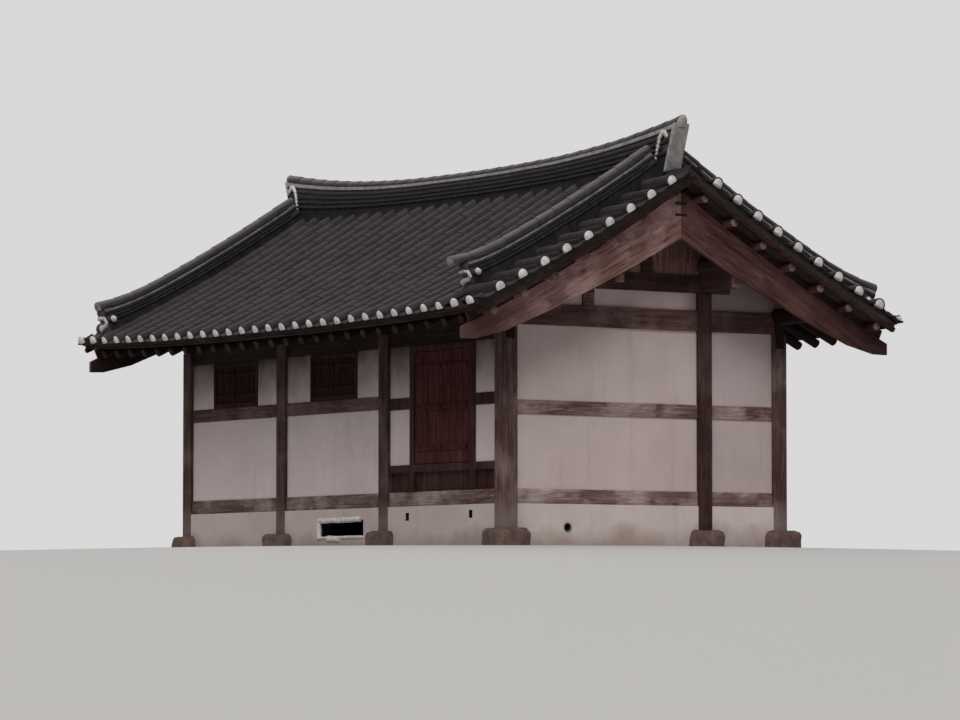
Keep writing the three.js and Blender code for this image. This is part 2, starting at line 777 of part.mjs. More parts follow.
addNode("front_tile_slope", "tile", tileBed(-1).add(coverRows(-1)));
addNode("rear_tile_slope", "tile", tileBed(1).add(coverRows(1)));

// Bargeboards on each verge, with the short verge rafters that stand on them.

const bargeBottom = (u) => crown(u) - bargeBottomDrop + bargeTaper * u;
const bargeTop = (u) => crown(u) - bargeTopDrop;

function bargeboard(end, side) {
  const foot = roofHalfDepth - bargeFootInset;
  const places = curvePlaces.map((u) => Math.max(u, gap / 2));
  const upper = places.slice(0, -1).map((u) => [u, bargeTop(u)]);
  const lower = places.slice(0, bargeCurvePlaces).reverse().map((u) => [u, bargeBottom(u)]);
  const outline = [
    ...upper,
    [foot, bargeTop(foot)],
    [foot, crown(foot) - bargeFootDrop],
    [bargeHeel.u, crown(bargeHeel.u) - bargeHeel.drop],
    ...lower,
  ];
  const placed = outline.map(([u, z]) => [side * u, z]);
  const outer = bargeInner + bargeboardThickness;
  const [x0, x1] = end > 0 ? [bargeInner + gap, outer] : [-outer, -bargeInner - gap];
  const solids = [toSolid(alongX(placed, x0, x1))];
  const { count, first, pitch, radius, sides, sink, length } = vergeRafters;
  for (let i = 0; i < count; i += 1) {
    const u = first + i * pitch;
    const z = bargeTop(u) + radius - sink;
    const start = [end * (bargeInner + gap), side * u, z];
    solids.push(pole(start, [end * (outer + length), side * u, z], radius, sides));
  }
  return join(solids);
}

addNode("near_front_bargeboard", "timber", bargeboard(1, -1));
addNode("near_rear_bargeboard", "timber", bargeboard(1, 1));
addNode("far_front_bargeboard", "timber", bargeboard(-1, -1));
addNode("far_rear_bargeboard", "timber", bargeboard(-1, 1));

// The main ridge and the four ridges that run down beside the verges, as one mass of stacked tiles.

function mainRidge() {
  const [low, high] = ridgeHalfWidths;
  const outline = [
    [-low, 0],
    [low, 0],
    [high, 1],
    [-high, 1],
  ];
  const place = (x, y, share) => {
    const half = share > 0 ? ridgeTopHalf : ridgeBaseHalf;
    const along = (x * half) / ridgeBaseHalf;
    const base = crown(low) - ridgeSink + lift(along);
    const rise = ridgeEndRise * (Math.abs(along) / ridgeTopHalf) ** ridgeRisePower;
    return [along, y, share > 0 ? crownHeight + ridgeHeight + rise : base];
  };
  return toSolid(reshape(alongX(outline, -ridgeBaseHalf, ridgeBaseHalf, ridgeSteps), place));
}

function descendingRidge(end, side) {
  const middle = end * (halfLength + descendingOffset);
  const [low, high] = descendingHalfWidths;
  const outline = [
    [middle - low, 0],
    [middle + low, 0],
    [middle + high, 1],
    [middle - high, 1],
  ];
  const [y0, y1] = side < 0 ? [-descendingEnd, -descendingStart] : [descendingStart, descendingEnd];
  const place = (x, y, share) => {
    const u = Math.abs(y);
    const bed = crown(u) + lift(middle);
    const past = Math.max(0, u - descendingTip.from) / (descendingEnd - descendingTip.from);
    const top = bed + descendingHeight + descendingTip.rise * past ** 2;
    return [x, y, share > 0 ? top : bed - descendingSink];
  };
  return toSolid(reshape(alongY(outline, y0, y1, descendingSteps), place));
}

function ridges() {
  const parts = [mainRidge()];
  for (const end of [-1, 1]) {
    for (const side of [-1, 1]) parts.push(descendingRidge(end, side));
  }
  return cut(join(parts), [tileBed(-1, gap), tileBed(1, gap)]);
}

addNode("roof_ridges", "tile", ridges());

export default house;
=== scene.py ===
# Dresses a small three-bay Korean house (hanok): tiled gable roof, timber frame, plaster walls.
# Metres, +X towards the door end, the front faces -Y, the ground is at z 0.
import json
import math

import bpy
from mathutils import Matrix, Vector

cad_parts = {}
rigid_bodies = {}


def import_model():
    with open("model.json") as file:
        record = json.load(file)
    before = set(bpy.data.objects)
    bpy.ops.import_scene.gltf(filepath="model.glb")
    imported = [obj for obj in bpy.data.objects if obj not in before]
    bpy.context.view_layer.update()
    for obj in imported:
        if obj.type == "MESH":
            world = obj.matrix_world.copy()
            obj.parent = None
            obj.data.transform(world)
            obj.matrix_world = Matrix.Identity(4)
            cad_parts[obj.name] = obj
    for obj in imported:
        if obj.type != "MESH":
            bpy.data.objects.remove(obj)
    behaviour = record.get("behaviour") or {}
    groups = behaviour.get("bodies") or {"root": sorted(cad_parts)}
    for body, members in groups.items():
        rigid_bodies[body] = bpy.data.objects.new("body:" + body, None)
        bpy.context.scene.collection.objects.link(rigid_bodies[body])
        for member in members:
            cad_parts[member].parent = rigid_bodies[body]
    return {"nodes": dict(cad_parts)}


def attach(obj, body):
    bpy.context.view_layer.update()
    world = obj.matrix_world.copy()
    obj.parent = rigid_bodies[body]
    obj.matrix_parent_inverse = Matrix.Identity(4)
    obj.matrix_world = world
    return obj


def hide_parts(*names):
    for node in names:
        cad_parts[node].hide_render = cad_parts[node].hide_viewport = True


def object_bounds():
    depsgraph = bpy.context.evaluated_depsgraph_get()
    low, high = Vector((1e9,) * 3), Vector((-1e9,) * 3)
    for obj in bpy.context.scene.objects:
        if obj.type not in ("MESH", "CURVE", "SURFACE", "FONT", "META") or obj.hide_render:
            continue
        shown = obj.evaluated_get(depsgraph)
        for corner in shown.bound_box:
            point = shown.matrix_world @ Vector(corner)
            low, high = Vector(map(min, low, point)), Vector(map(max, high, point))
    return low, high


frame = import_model()
cadLow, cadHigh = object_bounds()
nodes = frame["nodes"]
print("frame loaded with", len(nodes), "nodes")


# Working habits: select, edit, apply, copy, join

def selectOnly(*objs):
    bpy.ops.object.select_all(action="DESELECT")
    for obj in objs:
        obj.select_set(True)
    bpy.context.view_layer.objects.active = objs[0]


def settled(name, scale=(1, 1, 1)):
    # the primitive just added, with its place and size put into its mesh
    obj = bpy.context.object
    obj.name = name
    obj.scale = scale
    selectOnly(obj)
    bpy.ops.object.transform_apply(location=True, rotation=True, scale=True)
    return obj


def modify(obj, kind, **settings):
    # puts a modifier on and applies it
    modifier = obj.modifiers.new(kind.lower(), kind)
    for key, value in settings.items():
        setattr(modifier, key, value)
    selectOnly(obj)
    bpy.ops.object.modifier_apply(modifier=modifier.name)


def editAll(obj, action="SELECT"):
    selectOnly(obj)
    bpy.ops.object.mode_set(mode="EDIT")
    bpy.ops.mesh.select_mode(type="VERT")
    bpy.ops.mesh.select_all(action=action)


def leaveEdit():
    bpy.ops.object.mode_set(mode="OBJECT")


def editVerts(obj, choose):
    # leaves the object in edit mode with only the chosen vertices selected
    editAll(obj, "DESELECT")
    leaveEdit()
    for vert in obj.data.vertices:
        vert.select = choose(vert)
    bpy.ops.object.mode_set(mode="EDIT")


def moveVerts(obj, choose, by):
    editVerts(obj, choose)
    bpy.ops.transform.translate(value=by)
    leaveEdit()


def scaleVerts(obj, choose, by, middle):
    editVerts(obj, choose)
    bpy.ops.transform.resize(value=by, center_override=middle)
    leaveEdit()


def cutFiner(obj, cuts):
    editAll(obj)
    bpy.ops.mesh.subdivide(number_cuts=cuts)
    leaveEdit()


def cutAt(obj, axis, at, keep="both", fill=False):
    # cuts across an axis and keeps what is above the cut, below it, or both
    normal = Vector([float(axis == name) for name in "XYZ"])
    editAll(obj)
    bpy.ops.mesh.bisect(
        plane_co=normal * at, plane_no=normal, use_fill=fill,
        clear_outer=keep == "below", clear_inner=keep == "above",
    )
    leaveEdit()


def shift(obj, x=0.0, y=0.0, z=0.0):
    obj.data.transform(Matrix.Translation((x, y, z)))


def stretch(obj, x=1, y=1, z=1):
    obj.data.transform(Matrix.Diagonal((x, y, z, 1)))


def mirrorX(obj):
    stretch(obj, -1)
    obj.data.flip_normals()


def addBox(name, low, high):
    low, high = Vector(low), Vector(high)
    bpy.ops.mesh.primitive_cube_add(size=1, location=(low + high) / 2)
    return settled(name, high - low)


def addPole(name, start, end, radius, sides=14, endRadius=None):
    start, end = Vector(start), Vector(end)
    bpy.ops.mesh.primitive_cone_add(
        vertices=sides,
        radius1=radius,
        radius2=endRadius or radius,
        depth=(end - start).length,
        location=(start + end) / 2,
        rotation=(end - start).to_track_quat("Z", "Y").to_euler(),
    )
    return settled(name)


def addTube(name, radius, length, sides, z=0.0):
    # an open tube along X that starts at x 0
    bpy.ops.mesh.primitive_cylinder_add(
        vertices=sides, radius=radius, depth=length, end_fill_type="NOTHING",
        location=(length / 2, 0, z), rotation=(0, math.radians(90), 0),
    )
    return settled(name)


def addBall(name, radius, at=(0, 0, 0), scale=(1, 1, 1), segments=12, rings=8):
    bpy.ops.mesh.primitive_uv_sphere_add(
        segments=segments, ring_count=rings, radius=radius, location=at
    )
    return settled(name, scale)


def addRing(name, radius, thickness, at, turn):
    bpy.ops.mesh.primitive_torus_add(
        major_radius=radius, minor_radius=thickness, major_segments=28, minor_segments=8,
        location=at, rotation=[math.radians(angle) for angle in turn],
    )
    ring = settled(name)
    ring.data.shade_smooth()
    return ring


def addSlab(name, low, high, steps):
    # a bar along X with enough cuts to bend
    low, high = Vector(low), Vector(high)
    middle = (low + high) / 2
    bpy.ops.mesh.primitive_grid_add(
        x_subdivisions=steps, y_subdivisions=1, size=1, location=(middle.x, middle.y, high.z)
    )
    slab = settled(name, (high.x - low.x, high.y - low.y, 1))
    thicken(slab, high.z - low.z)
    return slab


def thicken(obj, thickness, offset=-1):
    modify(obj, "SOLIDIFY", thickness=thickness, offset=offset)


def softenEdges(obj, width, segments=2):
    modify(obj, "BEVEL", width=width, segments=segments, limit_method="ANGLE", angle_limit=0.6)


def repeat(obj, count, x=0.0, y=0.0):
    offset = {"use_relative_offset": False, "use_constant_offset": True}
    modify(obj, "ARRAY", count=count, constant_offset_displace=(x, y, 0), **offset)


def shadeByAngle(obj, degrees=40):
    selectOnly(obj)
    bpy.ops.object.shade_smooth_by_angle(angle=math.radians(degrees))


def linked(name, data):
    obj = bpy.data.objects.new(name, data)
    bpy.context.collection.objects.link(obj)
    return obj


def copyOf(obj, name, turn=None):
    twin = linked(name, obj.data.copy())
    if turn:
        twin.data.transform(turn)
    return twin


def joinAs(name, objs):
    selectOnly(*objs)
    if len(objs) > 1:
        bpy.ops.object.join()
    objs[0].name = name
    return objs[0]


def discard(*objs):
    for obj in objs:
        bpy.data.objects.remove(obj)


def nodeCopy(name, piece):
    # a merged copy of a CAD node, free of its loose triangles
    twin = copyOf(nodes[name], piece)
    editAll(twin)
    bpy.ops.mesh.remove_doubles(threshold=0.00005)
    bpy.ops.mesh.dissolve_limited(angle_limit=math.radians(1))
    bpy.ops.mesh.normals_make_consistent(inside=False)
    leaveEdit()
    twin.data.materials.clear()
    return twin


def pieceName(node):
    # front_post_1 becomes frontPost1
    first, *rest = node.split("_")
    return first + "".join(word.capitalize() for word in rest)


def dress(obj, material, replaces=(), body="house"):
    # a finished piece: its finish, the CAD nodes it stands for, and the body it moves with
    obj.data.materials.clear()
    obj.data.materials.append(material)
    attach(obj, body)
    if replaces:
        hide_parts(*replaces)


def paintFaces(obj, material, choose):
    # a second finish on the faces whose centre and normal are chosen
    obj.data.materials.append(material)
    for face in obj.data.polygons:
        if choose(face.center, face.normal):
            face.material_index = len(obj.data.materials) - 1


# Shader building

def newMaterial(name, roughness=0.85, specular=0.3):
    material = bpy.data.materials.new(name)
    material.use_nodes = True
    shader = material.node_tree.nodes["Principled BSDF"]
    shader.inputs["Roughness"].default_value = roughness
    shader.inputs["Specular IOR Level"].default_value = specular
    return material, material.node_tree, shader


def addNode(tree, kind, inputs=None, **settings):
    made = tree.nodes.new("ShaderNode" + kind)
    for key, value in settings.items():
        setattr(made, key, value)
    for key, value in (inputs or {}).items():
        if isinstance(value, bpy.types.NodeSocket):
            tree.links.new(value, made.inputs[key])
        else:
            made.inputs[key].default_value = value
    return made


def objectPlace(tree):
    return addNode(tree, "TexCoord").outputs["Object"]


def along(tree, vector, axis):
    return addNode(tree, "SeparateXYZ", {0: vector}).outputs[axis]


def stretched(tree, place, lengths, turn=(0, 0, 0)):
    # long lengths draw a pattern out along that axis
    inputs = {"Vector": place, "Scale": lengths, "Rotation": turn}
    return addNode(tree, "Mapping", inputs, vector_type="TEXTURE").outputs["Vector"]


def noise(tree, place, scale, detail=6, roughness=0.55):
    inputs = {"Vector": place, "Scale": scale, "Detail": detail, "Roughness": roughness}
    return addNode(tree, "TexNoise", inputs).outputs["Fac"]


def cellEdges(tree, place, scale, width):
    # 0 on the edges of cells, 1 past their width
    inputs = {"Vector": place, "Scale": scale}
    cells = addNode(tree, "TexVoronoi", inputs, feature="DISTANCE_TO_EDGE")
    return mapped(tree, cells.outputs["Distance"], 0.0, width)


def mapped(tree, value, low, high, outLow=0.0, outHigh=1.0):
    inputs = {0: value, 1: low, 2: high, 3: outLow, 4: outHigh}
    return addNode(tree, "MapRange", inputs).outputs["Result"]


def larger(tree, first, second):
    return addNode(tree, "Math", {0: first, 1: second}, operation="MAXIMUM").outputs[0]


def total(tree, *parts):
    # the sum of several values, each with its own weight
    summed = 0.0
    for value, weight in parts:
        inputs = {0: value, 1: weight, 2: summed}
        summed = addNode(tree, "Math", inputs, operation="MULTIPLY_ADD").outputs[0]
    return summed


def rgb(colour, dim=1.0):
    return (colour[0] * dim, colour[1] * dim, colour[2] * dim, 1)


def layered(tree, colour, layers):
    # tints laid over a colour: what drives each, where it starts, where it is full, how much
    for value, start, full, amount, tint in layers:
        inputs = {0: mapped(tree, value, start, full, 0.0, amount), 6: colour, 7: tint}
        colour = addNode(tree, "Mix", inputs, data_type="RGBA").outputs[2]
    return colour


def ramp(tree, value, stops):
    made = addNode(tree, "ValToRGB", {"Fac": value})
    elements = made.color_ramp.elements
    elements.remove(elements[1])
    elements[0].position, elements[0].color = stops[0]
    for place, colour in stops[1:]:
        elements.new(place).color = colour
    return made.outputs["Color"]


def finishShader(tree, shader, colour, height, strength, distance, roughness=None):
    tree.links.new(colour, shader.inputs["Base Color"])
    inputs = {"Height": height, "Strength": strength, "Distance": distance}
    bump = addNode(tree, "Bump", inputs)
    tree.links.new(bump.outputs["Normal"], shader.inputs["Normal"])
    if roughness:
        tree.links.new(roughness, shader.inputs["Roughness"])


# Finishes of the house

woodColours = {
    "dark": (0.032, 0.0165, 0.015),
    "mid": (0.09, 0.052, 0.047),
    "pale": (0.175, 0.117, 0.107),
    "bleached": (0.24, 0.18, 0.168),
}


def weatheredWood(name, grain, tone, bleach=0.5, red=1.0, lean=0, shades=()):
    # bare old pine: streaks and drying cracks along the grain, bleached in patches
    material, tree, shader = newMaterial(name, specular=0.15)
    place = objectPlace(tree)
    turn = (math.radians(lean), 0, 0)
    lengthwise = stretched(tree, place, grain, turn)
    streaks = noise(tree, lengthwise, 22, 8, 0.65)
    fibres = noise(tree, lengthwise, 95, 4, 0.6)
    patches = noise(tree, place, 2.3, 4)
    each = addNode(tree, "NewGeometry").outputs["Random Per Island"]
    crackGrain = [length * 1.6 if length > 1 else 1 for length in grain]
    cracks = cellEdges(tree, stretched(tree, place, crackGrain, turn), 13, 0.035)
    cracked = larger(tree, cracks, mapped(tree, patches, 0.48, 0.52))

    def tint(key):
        r, g, b = woodColours[key]
        return (r * tone * red, g * tone, b * tone, 1)

    colour = ramp(tree, streaks, [(0.3, tint("dark")), (0.5, tint("mid")), (0.72, tint("pale"))])
    layers = [
        (each, 0, 1, 0.4, tint("dark")),
        (patches, 0.45, 0.7, bleach, tint("bleached")),
        (fibres, 0.65, 0.35, 0.55, tint("dark")),
        (cracked, 1, 0, 0.8, tint("dark")),
    ]
    # bands along an axis: the bleached post feet, painted shade on some timbers, darkening on
    # others
    for key, axis, *reach in shades:
        layers.append((along(tree, place, axis), *reach, tint(key)))
    height = total(tree, (streaks, 1), (fibres, 0.5), (cracked, 1))
    roughness = mapped(tree, streaks, 0.3, 0.7, 0.95, 0.7)
    finishShader(tree, shader, layered(tree, colour, layers), height, 0.55, 0.008, roughness)
    return material


alongX, alongY, alongZ, endOn = (14, 1, 1), (1, 14, 1), (1, 1, 14), (1, 1, 1)
footShade = [("bleached", "Z", 0.6, 0.3, 0.6)]
# grain, tone, bleach, red, lean of the grain, and bands of bleaching, painted shade and darkening:
# colour, axis, start, full, amount
woods = {
    "post": (alongZ, 1.0, 0.5, 1.0, 0, footShade),
    "cornerPost": (alongZ, 1.35, 0.6, 1.0, 0, footShade),
    "highPost": (alongZ, 0.58, 0.4, 1.2),
    # the eave beams and ridge purlin, kept very dark as painted shade under the eaves
    "longBeam": (alongX, 0.18, 0.2, 1.2),
    "purlin": (alongX, 0.75, 0.2, 1.2),
    # the cross beams, darker towards the rear as painted shade
    "crossBeam": (alongY, 1.5, 0.5, 1.08, 0, [("dark", "Y", 0.5, 0.7, 0.5)]),
    "upperBeam": (alongY, 0.55, 0.5, 1.25),
    "middleRail": (alongX, 1.12, 0.4, 1.1),
    "gableMiddleRail": (alongY, 2.2, 0.8),
    "lowerRail": (alongX, 2.15, 0.8, 0.92),
    "gableLowerRail": (alongY, 2.9, 0.85, 0.93),
    # the front bargeboards, darker towards their lower ends as painted shade
    "frontBarge": (alongY, 2.9, 0.5, 1.1, 28, [("dark", "Y", -1.6, -2.7, 0.95)]),
    # the rear bargeboards, darker towards their lower ends
    "rearBarge": (alongY, 0.9, 0.3, 1.35, -28, [("dark", "Y", 1.2, 2.6, 0.7)]),
    # the rafters and their ends, kept very dark as painted shade under the eaves
    "frontRafter": (alongY, 0.17, 0.15, 1.2, 28),
    "rearRafter": (alongY, 0.17, 0.15, 1.2, -28),
    "rafterEnd": (endOn, 0.38, 0.3),
    "door": (alongZ, 0.38, 0.1, 2.1),
    "doorFrame": (alongZ, 0.48, 0.2, 1.4),
    # the window frames and shutters, kept very dark as painted shade under the eaves
    "windowFrame": (alongZ, 0.23, 0.1, 1.7),
    "shutter": (alongZ, 0.13, 0.05, 2.3),
    "gableBoard": ((1, 1, 10), 2.3, 0.3, 1.1),
    "endGrain": (endOn, 2.0, 0.6),
    # the eave battens, kept dark as painted shade under the eaves
    "batten": ((9, 9, 1), 0.33, 0.3, 1.35),
}
wood = {name: weatheredWood(name + "Wood", *looks) for name, looks in woods.items()}


def limePlaster(name, base, stain, groundDirt, eaveSmoke=0.0, shades=()):
    # trowelled lime over mud: cloudy, faintly cracked, splashed at the ground, with painted shade
    # darkening it under the eaves
    material, tree, shader = newMaterial(name, 0.95)
    place = objectPlace(tree)
    clouds = noise(tree, place, 1.4, 5, 0.6)
    trowel = noise(tree, stretched(tree, place, (2.5, 2.5, 1)), 5, 4)
    grit = noise(tree, place, 160, 3)
    runs = noise(tree, stretched(tree, place, (1, 1, 9)), 7, 5, 0.6)
    wander = addNode(tree, "TexNoise", {"Scale": 3}).outputs["Color"]
    warped = addNode(tree, "VectorMath", {0: place, 1: wander}).outputs[0]
    hairlines = cellEdges(tree, warped, 1.1, 0.006)
    cracked = larger(tree, hairlines, mapped(tree, clouds, 0.5, 0.45))
    height = along(tree, place, "Z")
    splash = total(tree, (height, 1), (mapped(tree, clouds, 0.3, 0.7, -groundDirt, groundDirt), 1))
    eaveShadeLevel = total(tree, (height, 1), (mapped(tree, clouds, 0.3, 0.7, -0.12, 0.12), 1))
    layers = [
        (clouds, 0.35, 0.75, 0.75, rgb(stain)),
        (runs, 0.55, 0.8, 0.4, rgb(stain, 0.75)),
        (grit, 0.7, 0.3, 0.12, rgb(stain, 0.6)),
        (cracked, 1, 0, 0.2, rgb(stain, 0.45)),
        (splash, groundDirt * 1.6, 0.0, 0.7, (0.27, 0.185, 0.145, 1)),
        # painted shade under the eaves, growing with height
        (eaveShadeLevel, 1.75, 2.35, eaveSmoke, (0.045, 0.021, 0.017, 1)),
    ]
    # painted shade along an axis
    for axis, *reach in shades:
        layers.append((along(tree, place, axis), *reach, rgb(stain, 0.3)))
    relief = total(tree, (trowel, 3.0), (grit, 0.25), (cracked, 0.3))
    finishShader(tree, shader, layered(tree, rgb(base), layers), relief, 0.35, 0.006)
    return material


# colour, stain, dirt at the ground, painted shade under the eaves, and painted shade along an
# axis: axis, start, full, amount
plasters = {
    "wall": ((0.63, 0.52, 0.505), (0.51, 0.405, 0.385), 0.1),
    # a darker plaster for the rear bays of the gable walls, as painted shade
    "bay": ((0.54, 0.44, 0.43), (0.43, 0.34, 0.325), 0.1),
    # the walls under the eaves, with painted shade growing towards their tops
    "eave": ((0.63, 0.535, 0.54), (0.5, 0.41, 0.41), 0.1, 0.97),
    # the gable's upper plaster strip, darker towards the rear as painted shade under the
    # bargeboards
    "strip": ((0.62, 0.48, 0.47), (0.45, 0.33, 0.32), 0.1, 0.0, [("Y", 0.5, 0.8, 0.6)]),
    # the base plaster, darker along its front face as painted shade
    "base": ((0.68, 0.585, 0.56), (0.53, 0.44, 0.41), 0.14, 0.0, [("Y", -1.6, -1.85, 0.28)]),
    # a dark plaster for the strip above the eave beams, as painted shade under the eaves
    "dull": ((0.2, 0.15, 0.14), (0.12, 0.085, 0.075), 0.1),
}
plaster = {name: limePlaster(name + "Plaster", *looks) for name, looks in plasters.items()}


def firedTile(name, base, tone, crest, skyHighlightColour=(0.19, 0.165, 0.185), crestFrom=0.6):
    # grey clay tile, each a little different, dusty, and paler on its upward faces: painted sky
    # highlight, partly weathering
    material, tree, shader = newMaterial(name)
    place = objectPlace(tree)
    geometry = addNode(tree, "NewGeometry").outputs
    upward = along(tree, geometry["Normal"], "Z")
    dust = noise(tree, place, 9, 6, 0.65)
    speck = noise(tree, place, 120, 3)
    moss = noise(tree, place, 3.1, 5, 0.6)
    colour = layered(tree, rgb(base, 0.7 * tone), (
        (geometry["Random Per Island"], 0, 1, 1, rgb(base, 1.35 * tone)),
        (upward, crestFrom, 0.92, crest, rgb(skyHighlightColour, tone)),
        (dust, 0.48, 0.75, 0.5, rgb((0.17, 0.148, 0.155), tone)),
        (speck, 0.62, 0.75, 0.45, rgb((0.27, 0.26, 0.24), tone)),
        (moss, 0.58, 0.72, 0.35, rgb((0.05, 0.052, 0.036), tone)),
    ))
    height = total(tree, (dust, 1), (speck, 0.3))
    finishShader(tree, shader, colour, height, 0.3, 0.004, mapped(tree, dust, 0.3, 0.7, 0.6, 0.9))
    return material


tileField = firedTile("roofTile", (0.049, 0.0355, 0.046), 0.53, 0.3)
tileRidge = firedTile("ridgeTile", (0.036, 0.032, 0.035), 0.36, 0.25)
# the caps with a stronger painted highlight over their rounded tops
tileCap = firedTile("capTile", (0.045, 0.039, 0.042), 0.68, 0.6, (0.38, 0.335, 0.355), 0.3)


def rough(name, base, dark, scale, strength=0.5, distance=0.01, roughness=0.95):
    # mortar, stone and mud: two tones broken up at one scale, with grit
    material, tree, shader = newMaterial(name, roughness)
    place = objectPlace(tree)
    lumps = noise(tree, place, scale, 7, 0.65)
    grit = noise(tree, place, scale * 9, 4)
    layers = ((lumps, 0.38, 0.68, 1, rgb(base)), (grit, 0.55, 0.75, 0.5, rgb(dark, 0.6)))
    height = total(tree, (lumps, 1), (grit, 1))
    finishShader(tree, shader, layered(tree, rgb(dark), layers), height, strength, distance)
    return material


mortarWhite = rough("limeMortar", (0.78, 0.75, 0.73), (0.5, 0.46, 0.44), 14, 0.5, 0.006)
mortarDull = rough("dullMortar", (0.46, 0.44, 0.43), (0.26, 0.24, 0.235), 12, 0.5, 0.006)
mortarGrey = rough("greyMortar", (0.3, 0.285, 0.28), (0.13, 0.12, 0.12), 12, 0.5, 0.006)
# dark mortar of the ridge cores, mud-dark, and of the descending ridges' end plates, kept dark as
# painted shade under the caps
mortarDark = rough("darkMortar", (0.1, 0.092, 0.09), (0.05, 0.045, 0.045), 12, 0.5, 0.006)
mudBed = rough("mudBed", (0.05, 0.04, 0.035), (0.025, 0.02, 0.018), 10)
footingStone = rough(
    "footingStone", (0.19, 0.115, 0.098), (0.085, 0.056, 0.048), 8, 0.8, 0.012
)
floorMud = rough("floorMud", (0.42, 0.33, 0.2), (0.3, 0.22, 0.13), 4, 0.2, 0.003, 0.6)
soot = rough("soot", (0.03, 0.026, 0.024), (0.012, 0.011, 0.011), 9)
iron = rough("blackIron", (0.05, 0.04, 0.036), (0.02, 0.017, 0.016), 60, 0.4, 0.001, 0.55)
iron.node_tree.nodes["Principled BSDF"].inputs["Metallic"].default_value = 0.8
print("finishes ready")


# The roof's curves, the same as the frame's: run is the distance from the ridge line in plan

roof = {
    "crown": 4.220,
    "slope": 0.645,
    "curve": 0.031,
    "endLift": 0.085,
    "halfLength": cadHigh.x,
    "halfDepth": cadHigh.y,
}
frontTurn = Matrix.Rotation(math.radians(-90), 4, "Z")
quarterTurn = Matrix.Rotation(math.radians(90), 4, "Z")
halfTurn = Matrix.Rotation(math.pi, 4, "Z")


def crownAt(run):
    return roof["crown"] - roof["slope"] * run + roof["curve"] * run * run


def liftAt(x):
    return roof["endLift"] * (abs(x) / roof["halfLength"]) ** 2.5


def slopeLength(run, steps=60):
    length = 0
    for i in range(steps):
        here, there = run * i / steps, run * (i + 1) / steps
        length += math.hypot(there - here, crownAt(there) - crownAt(here))
    return length


def slopeLine(steps=40):
    # the tile bed's line in the XZ plane, which rows of tiles are bent along
    data = bpy.data.curves.new("slopeLine", "CURVE")
    data.dimensions = "3D"
    data.twist_mode = "Z_UP"
    spline = data.splines.new("POLY")
    spline.points.add(steps)
    for i, point in enumerate(spline.points):
        run = roof["halfDepth"] * i / steps
        point.co = (run, 0, crownAt(run), 1)
    return linked("slopeLine", data)


def upLattice(name, low, high, footLift, topLift, topStretch=1.0):
    # raises the ends of what lies in it, by one curve at the foot and another at the top
    low, high = Vector(low), Vector(high)
    middle, size = (low + high) / 2, high - low
    bpy.ops.object.add(type="LATTICE", location=middle)
    lattice = bpy.context.object
    lattice.name = name
    lattice.scale = size
    lattice.data.points_u = 33
    lattice.data.points_v = 2
    lattice.data.points_w = 2
    for axis in "uvw":
        setattr(lattice.data, "interpolation_type_" + axis, "KEY_LINEAR")
    for point in lattice.data.points:
        x = point.co.x * size.x + middle.x
        rise, outward = footLift(x), 0
        if point.co.z > 0:
            rise, outward = topLift(x), x * (topStretch - 1)
        point.co_deform = point.co_deform + Vector((outward / size.x, 0, rise / size.z))
    return lattice


def bendDown(obj):
    # lays what runs along X down the front slope
    modify(obj, "CURVE", object=followSlope, deform_axis="POS_X")
    obj.data.transform(frontTurn)


def unsettle(obj, strength, size, direction="Z"):
    # hand-laid unevenness
    texture = bpy.data.textures.new(obj.name + "Unevenness", "CLOUDS")
    texture.noise_scale = size
    settings = {"texture_coords": "LOCAL", "direction": direction, "strength": strength}
    modify(obj, "DISPLACE", texture=texture, **settings)


followSlope = slopeLine()
roofLattice = upLattice("roofLattice", (-4.75, -3.3, 1.5), (4.75, 3.3, 5.2), liftAt, liftAt)

tiles = {
    "rows": 30,
    "pitch": 0.3045,
    "courses": 13,
    "coverRadius": 0.078,
    "coverTopRadius": 0.07,
    "plugRadius": 0.064,
    "plugBulge": 0.5,
    "troughRadius": 0.19,
    "troughHalfAngle": 45,
    "thickness": 0.013,
    "overlap": 0.045,
    "troughDrop": 0.03,
    "wobble": 0.014,
    # the tiles laid sideways between the descending ridge and the verge
    "vergeRows": 9,
    "vergeFirst": 0.32,
    "vergePitch": 0.29,
    "vergeInner": 3.97,
    "hiddenFrom": 3.99,
    "vergeWobble": 0.008,
}
courseLength = slopeLength(roof["halfDepth"]) / tiles["courses"]


def atStart(vert):
    return vert.co.x < 0.001


def coverTile(length):
    # a half-round tile lying along X, narrower at x 0 than at x length
    tile = addTube("cover", tiles["coverRadius"], length, 16)
    cutAt(tile, "Z", -0.004, "above")
    share = tiles["coverTopRadius"] / tiles["coverRadius"]
    scaleVerts(tile, atStart, (1, share, share), (0, 0, 0))
    thicken(tile, tiles["thickness"])
    shadeByAngle(tile)
    return tile


def troughTile(length):
    # a shallow tile, hollow side up, its lower end laid over the next one
    radius = tiles["troughRadius"]
    tile = addTube("trough", radius, length, 24, radius)
    edge = radius * (1 - math.cos(math.radians(tiles["troughHalfAngle"])))
    cutAt(tile, "Z", edge, "below")
    moveVerts(tile, atStart, (0, 0, -tiles["thickness"] * 1.2))
    thicken(tile, tiles["thickness"], 1)
    shadeByAngle(tile)
    return tile


def limePlug(radius, x=0.0, z=0.0):
    # closes a cover tile's open end, bulging out along X
    plug = addBall("plug", radius, scale=(tiles["plugBulge"], 1, 1), segments=14)
    cutAt(plug, "Z", -0.4 * radius, "above", fill=True)
    shadeByAngle(plug)
    shift(plug, x, 0, z)
    return plug


def layRows(obj, place, count, x=0.0, y=0.0):
    # repeats it side by side from its place, and lays it down the slope
    shift(obj, *place)
    repeat(obj, count, x, y)
    bendDown(obj)


def layFront(name, parts, wobble):
    # finishes a set of tiles of the front slope
    laid = joinAs(name, parts)
    unsettle(laid, wobble, 0.35)
    unsettle(laid, wobble, 0.6, "X")
    modify(laid, "LATTICE", object=roofLattice)
    return laid


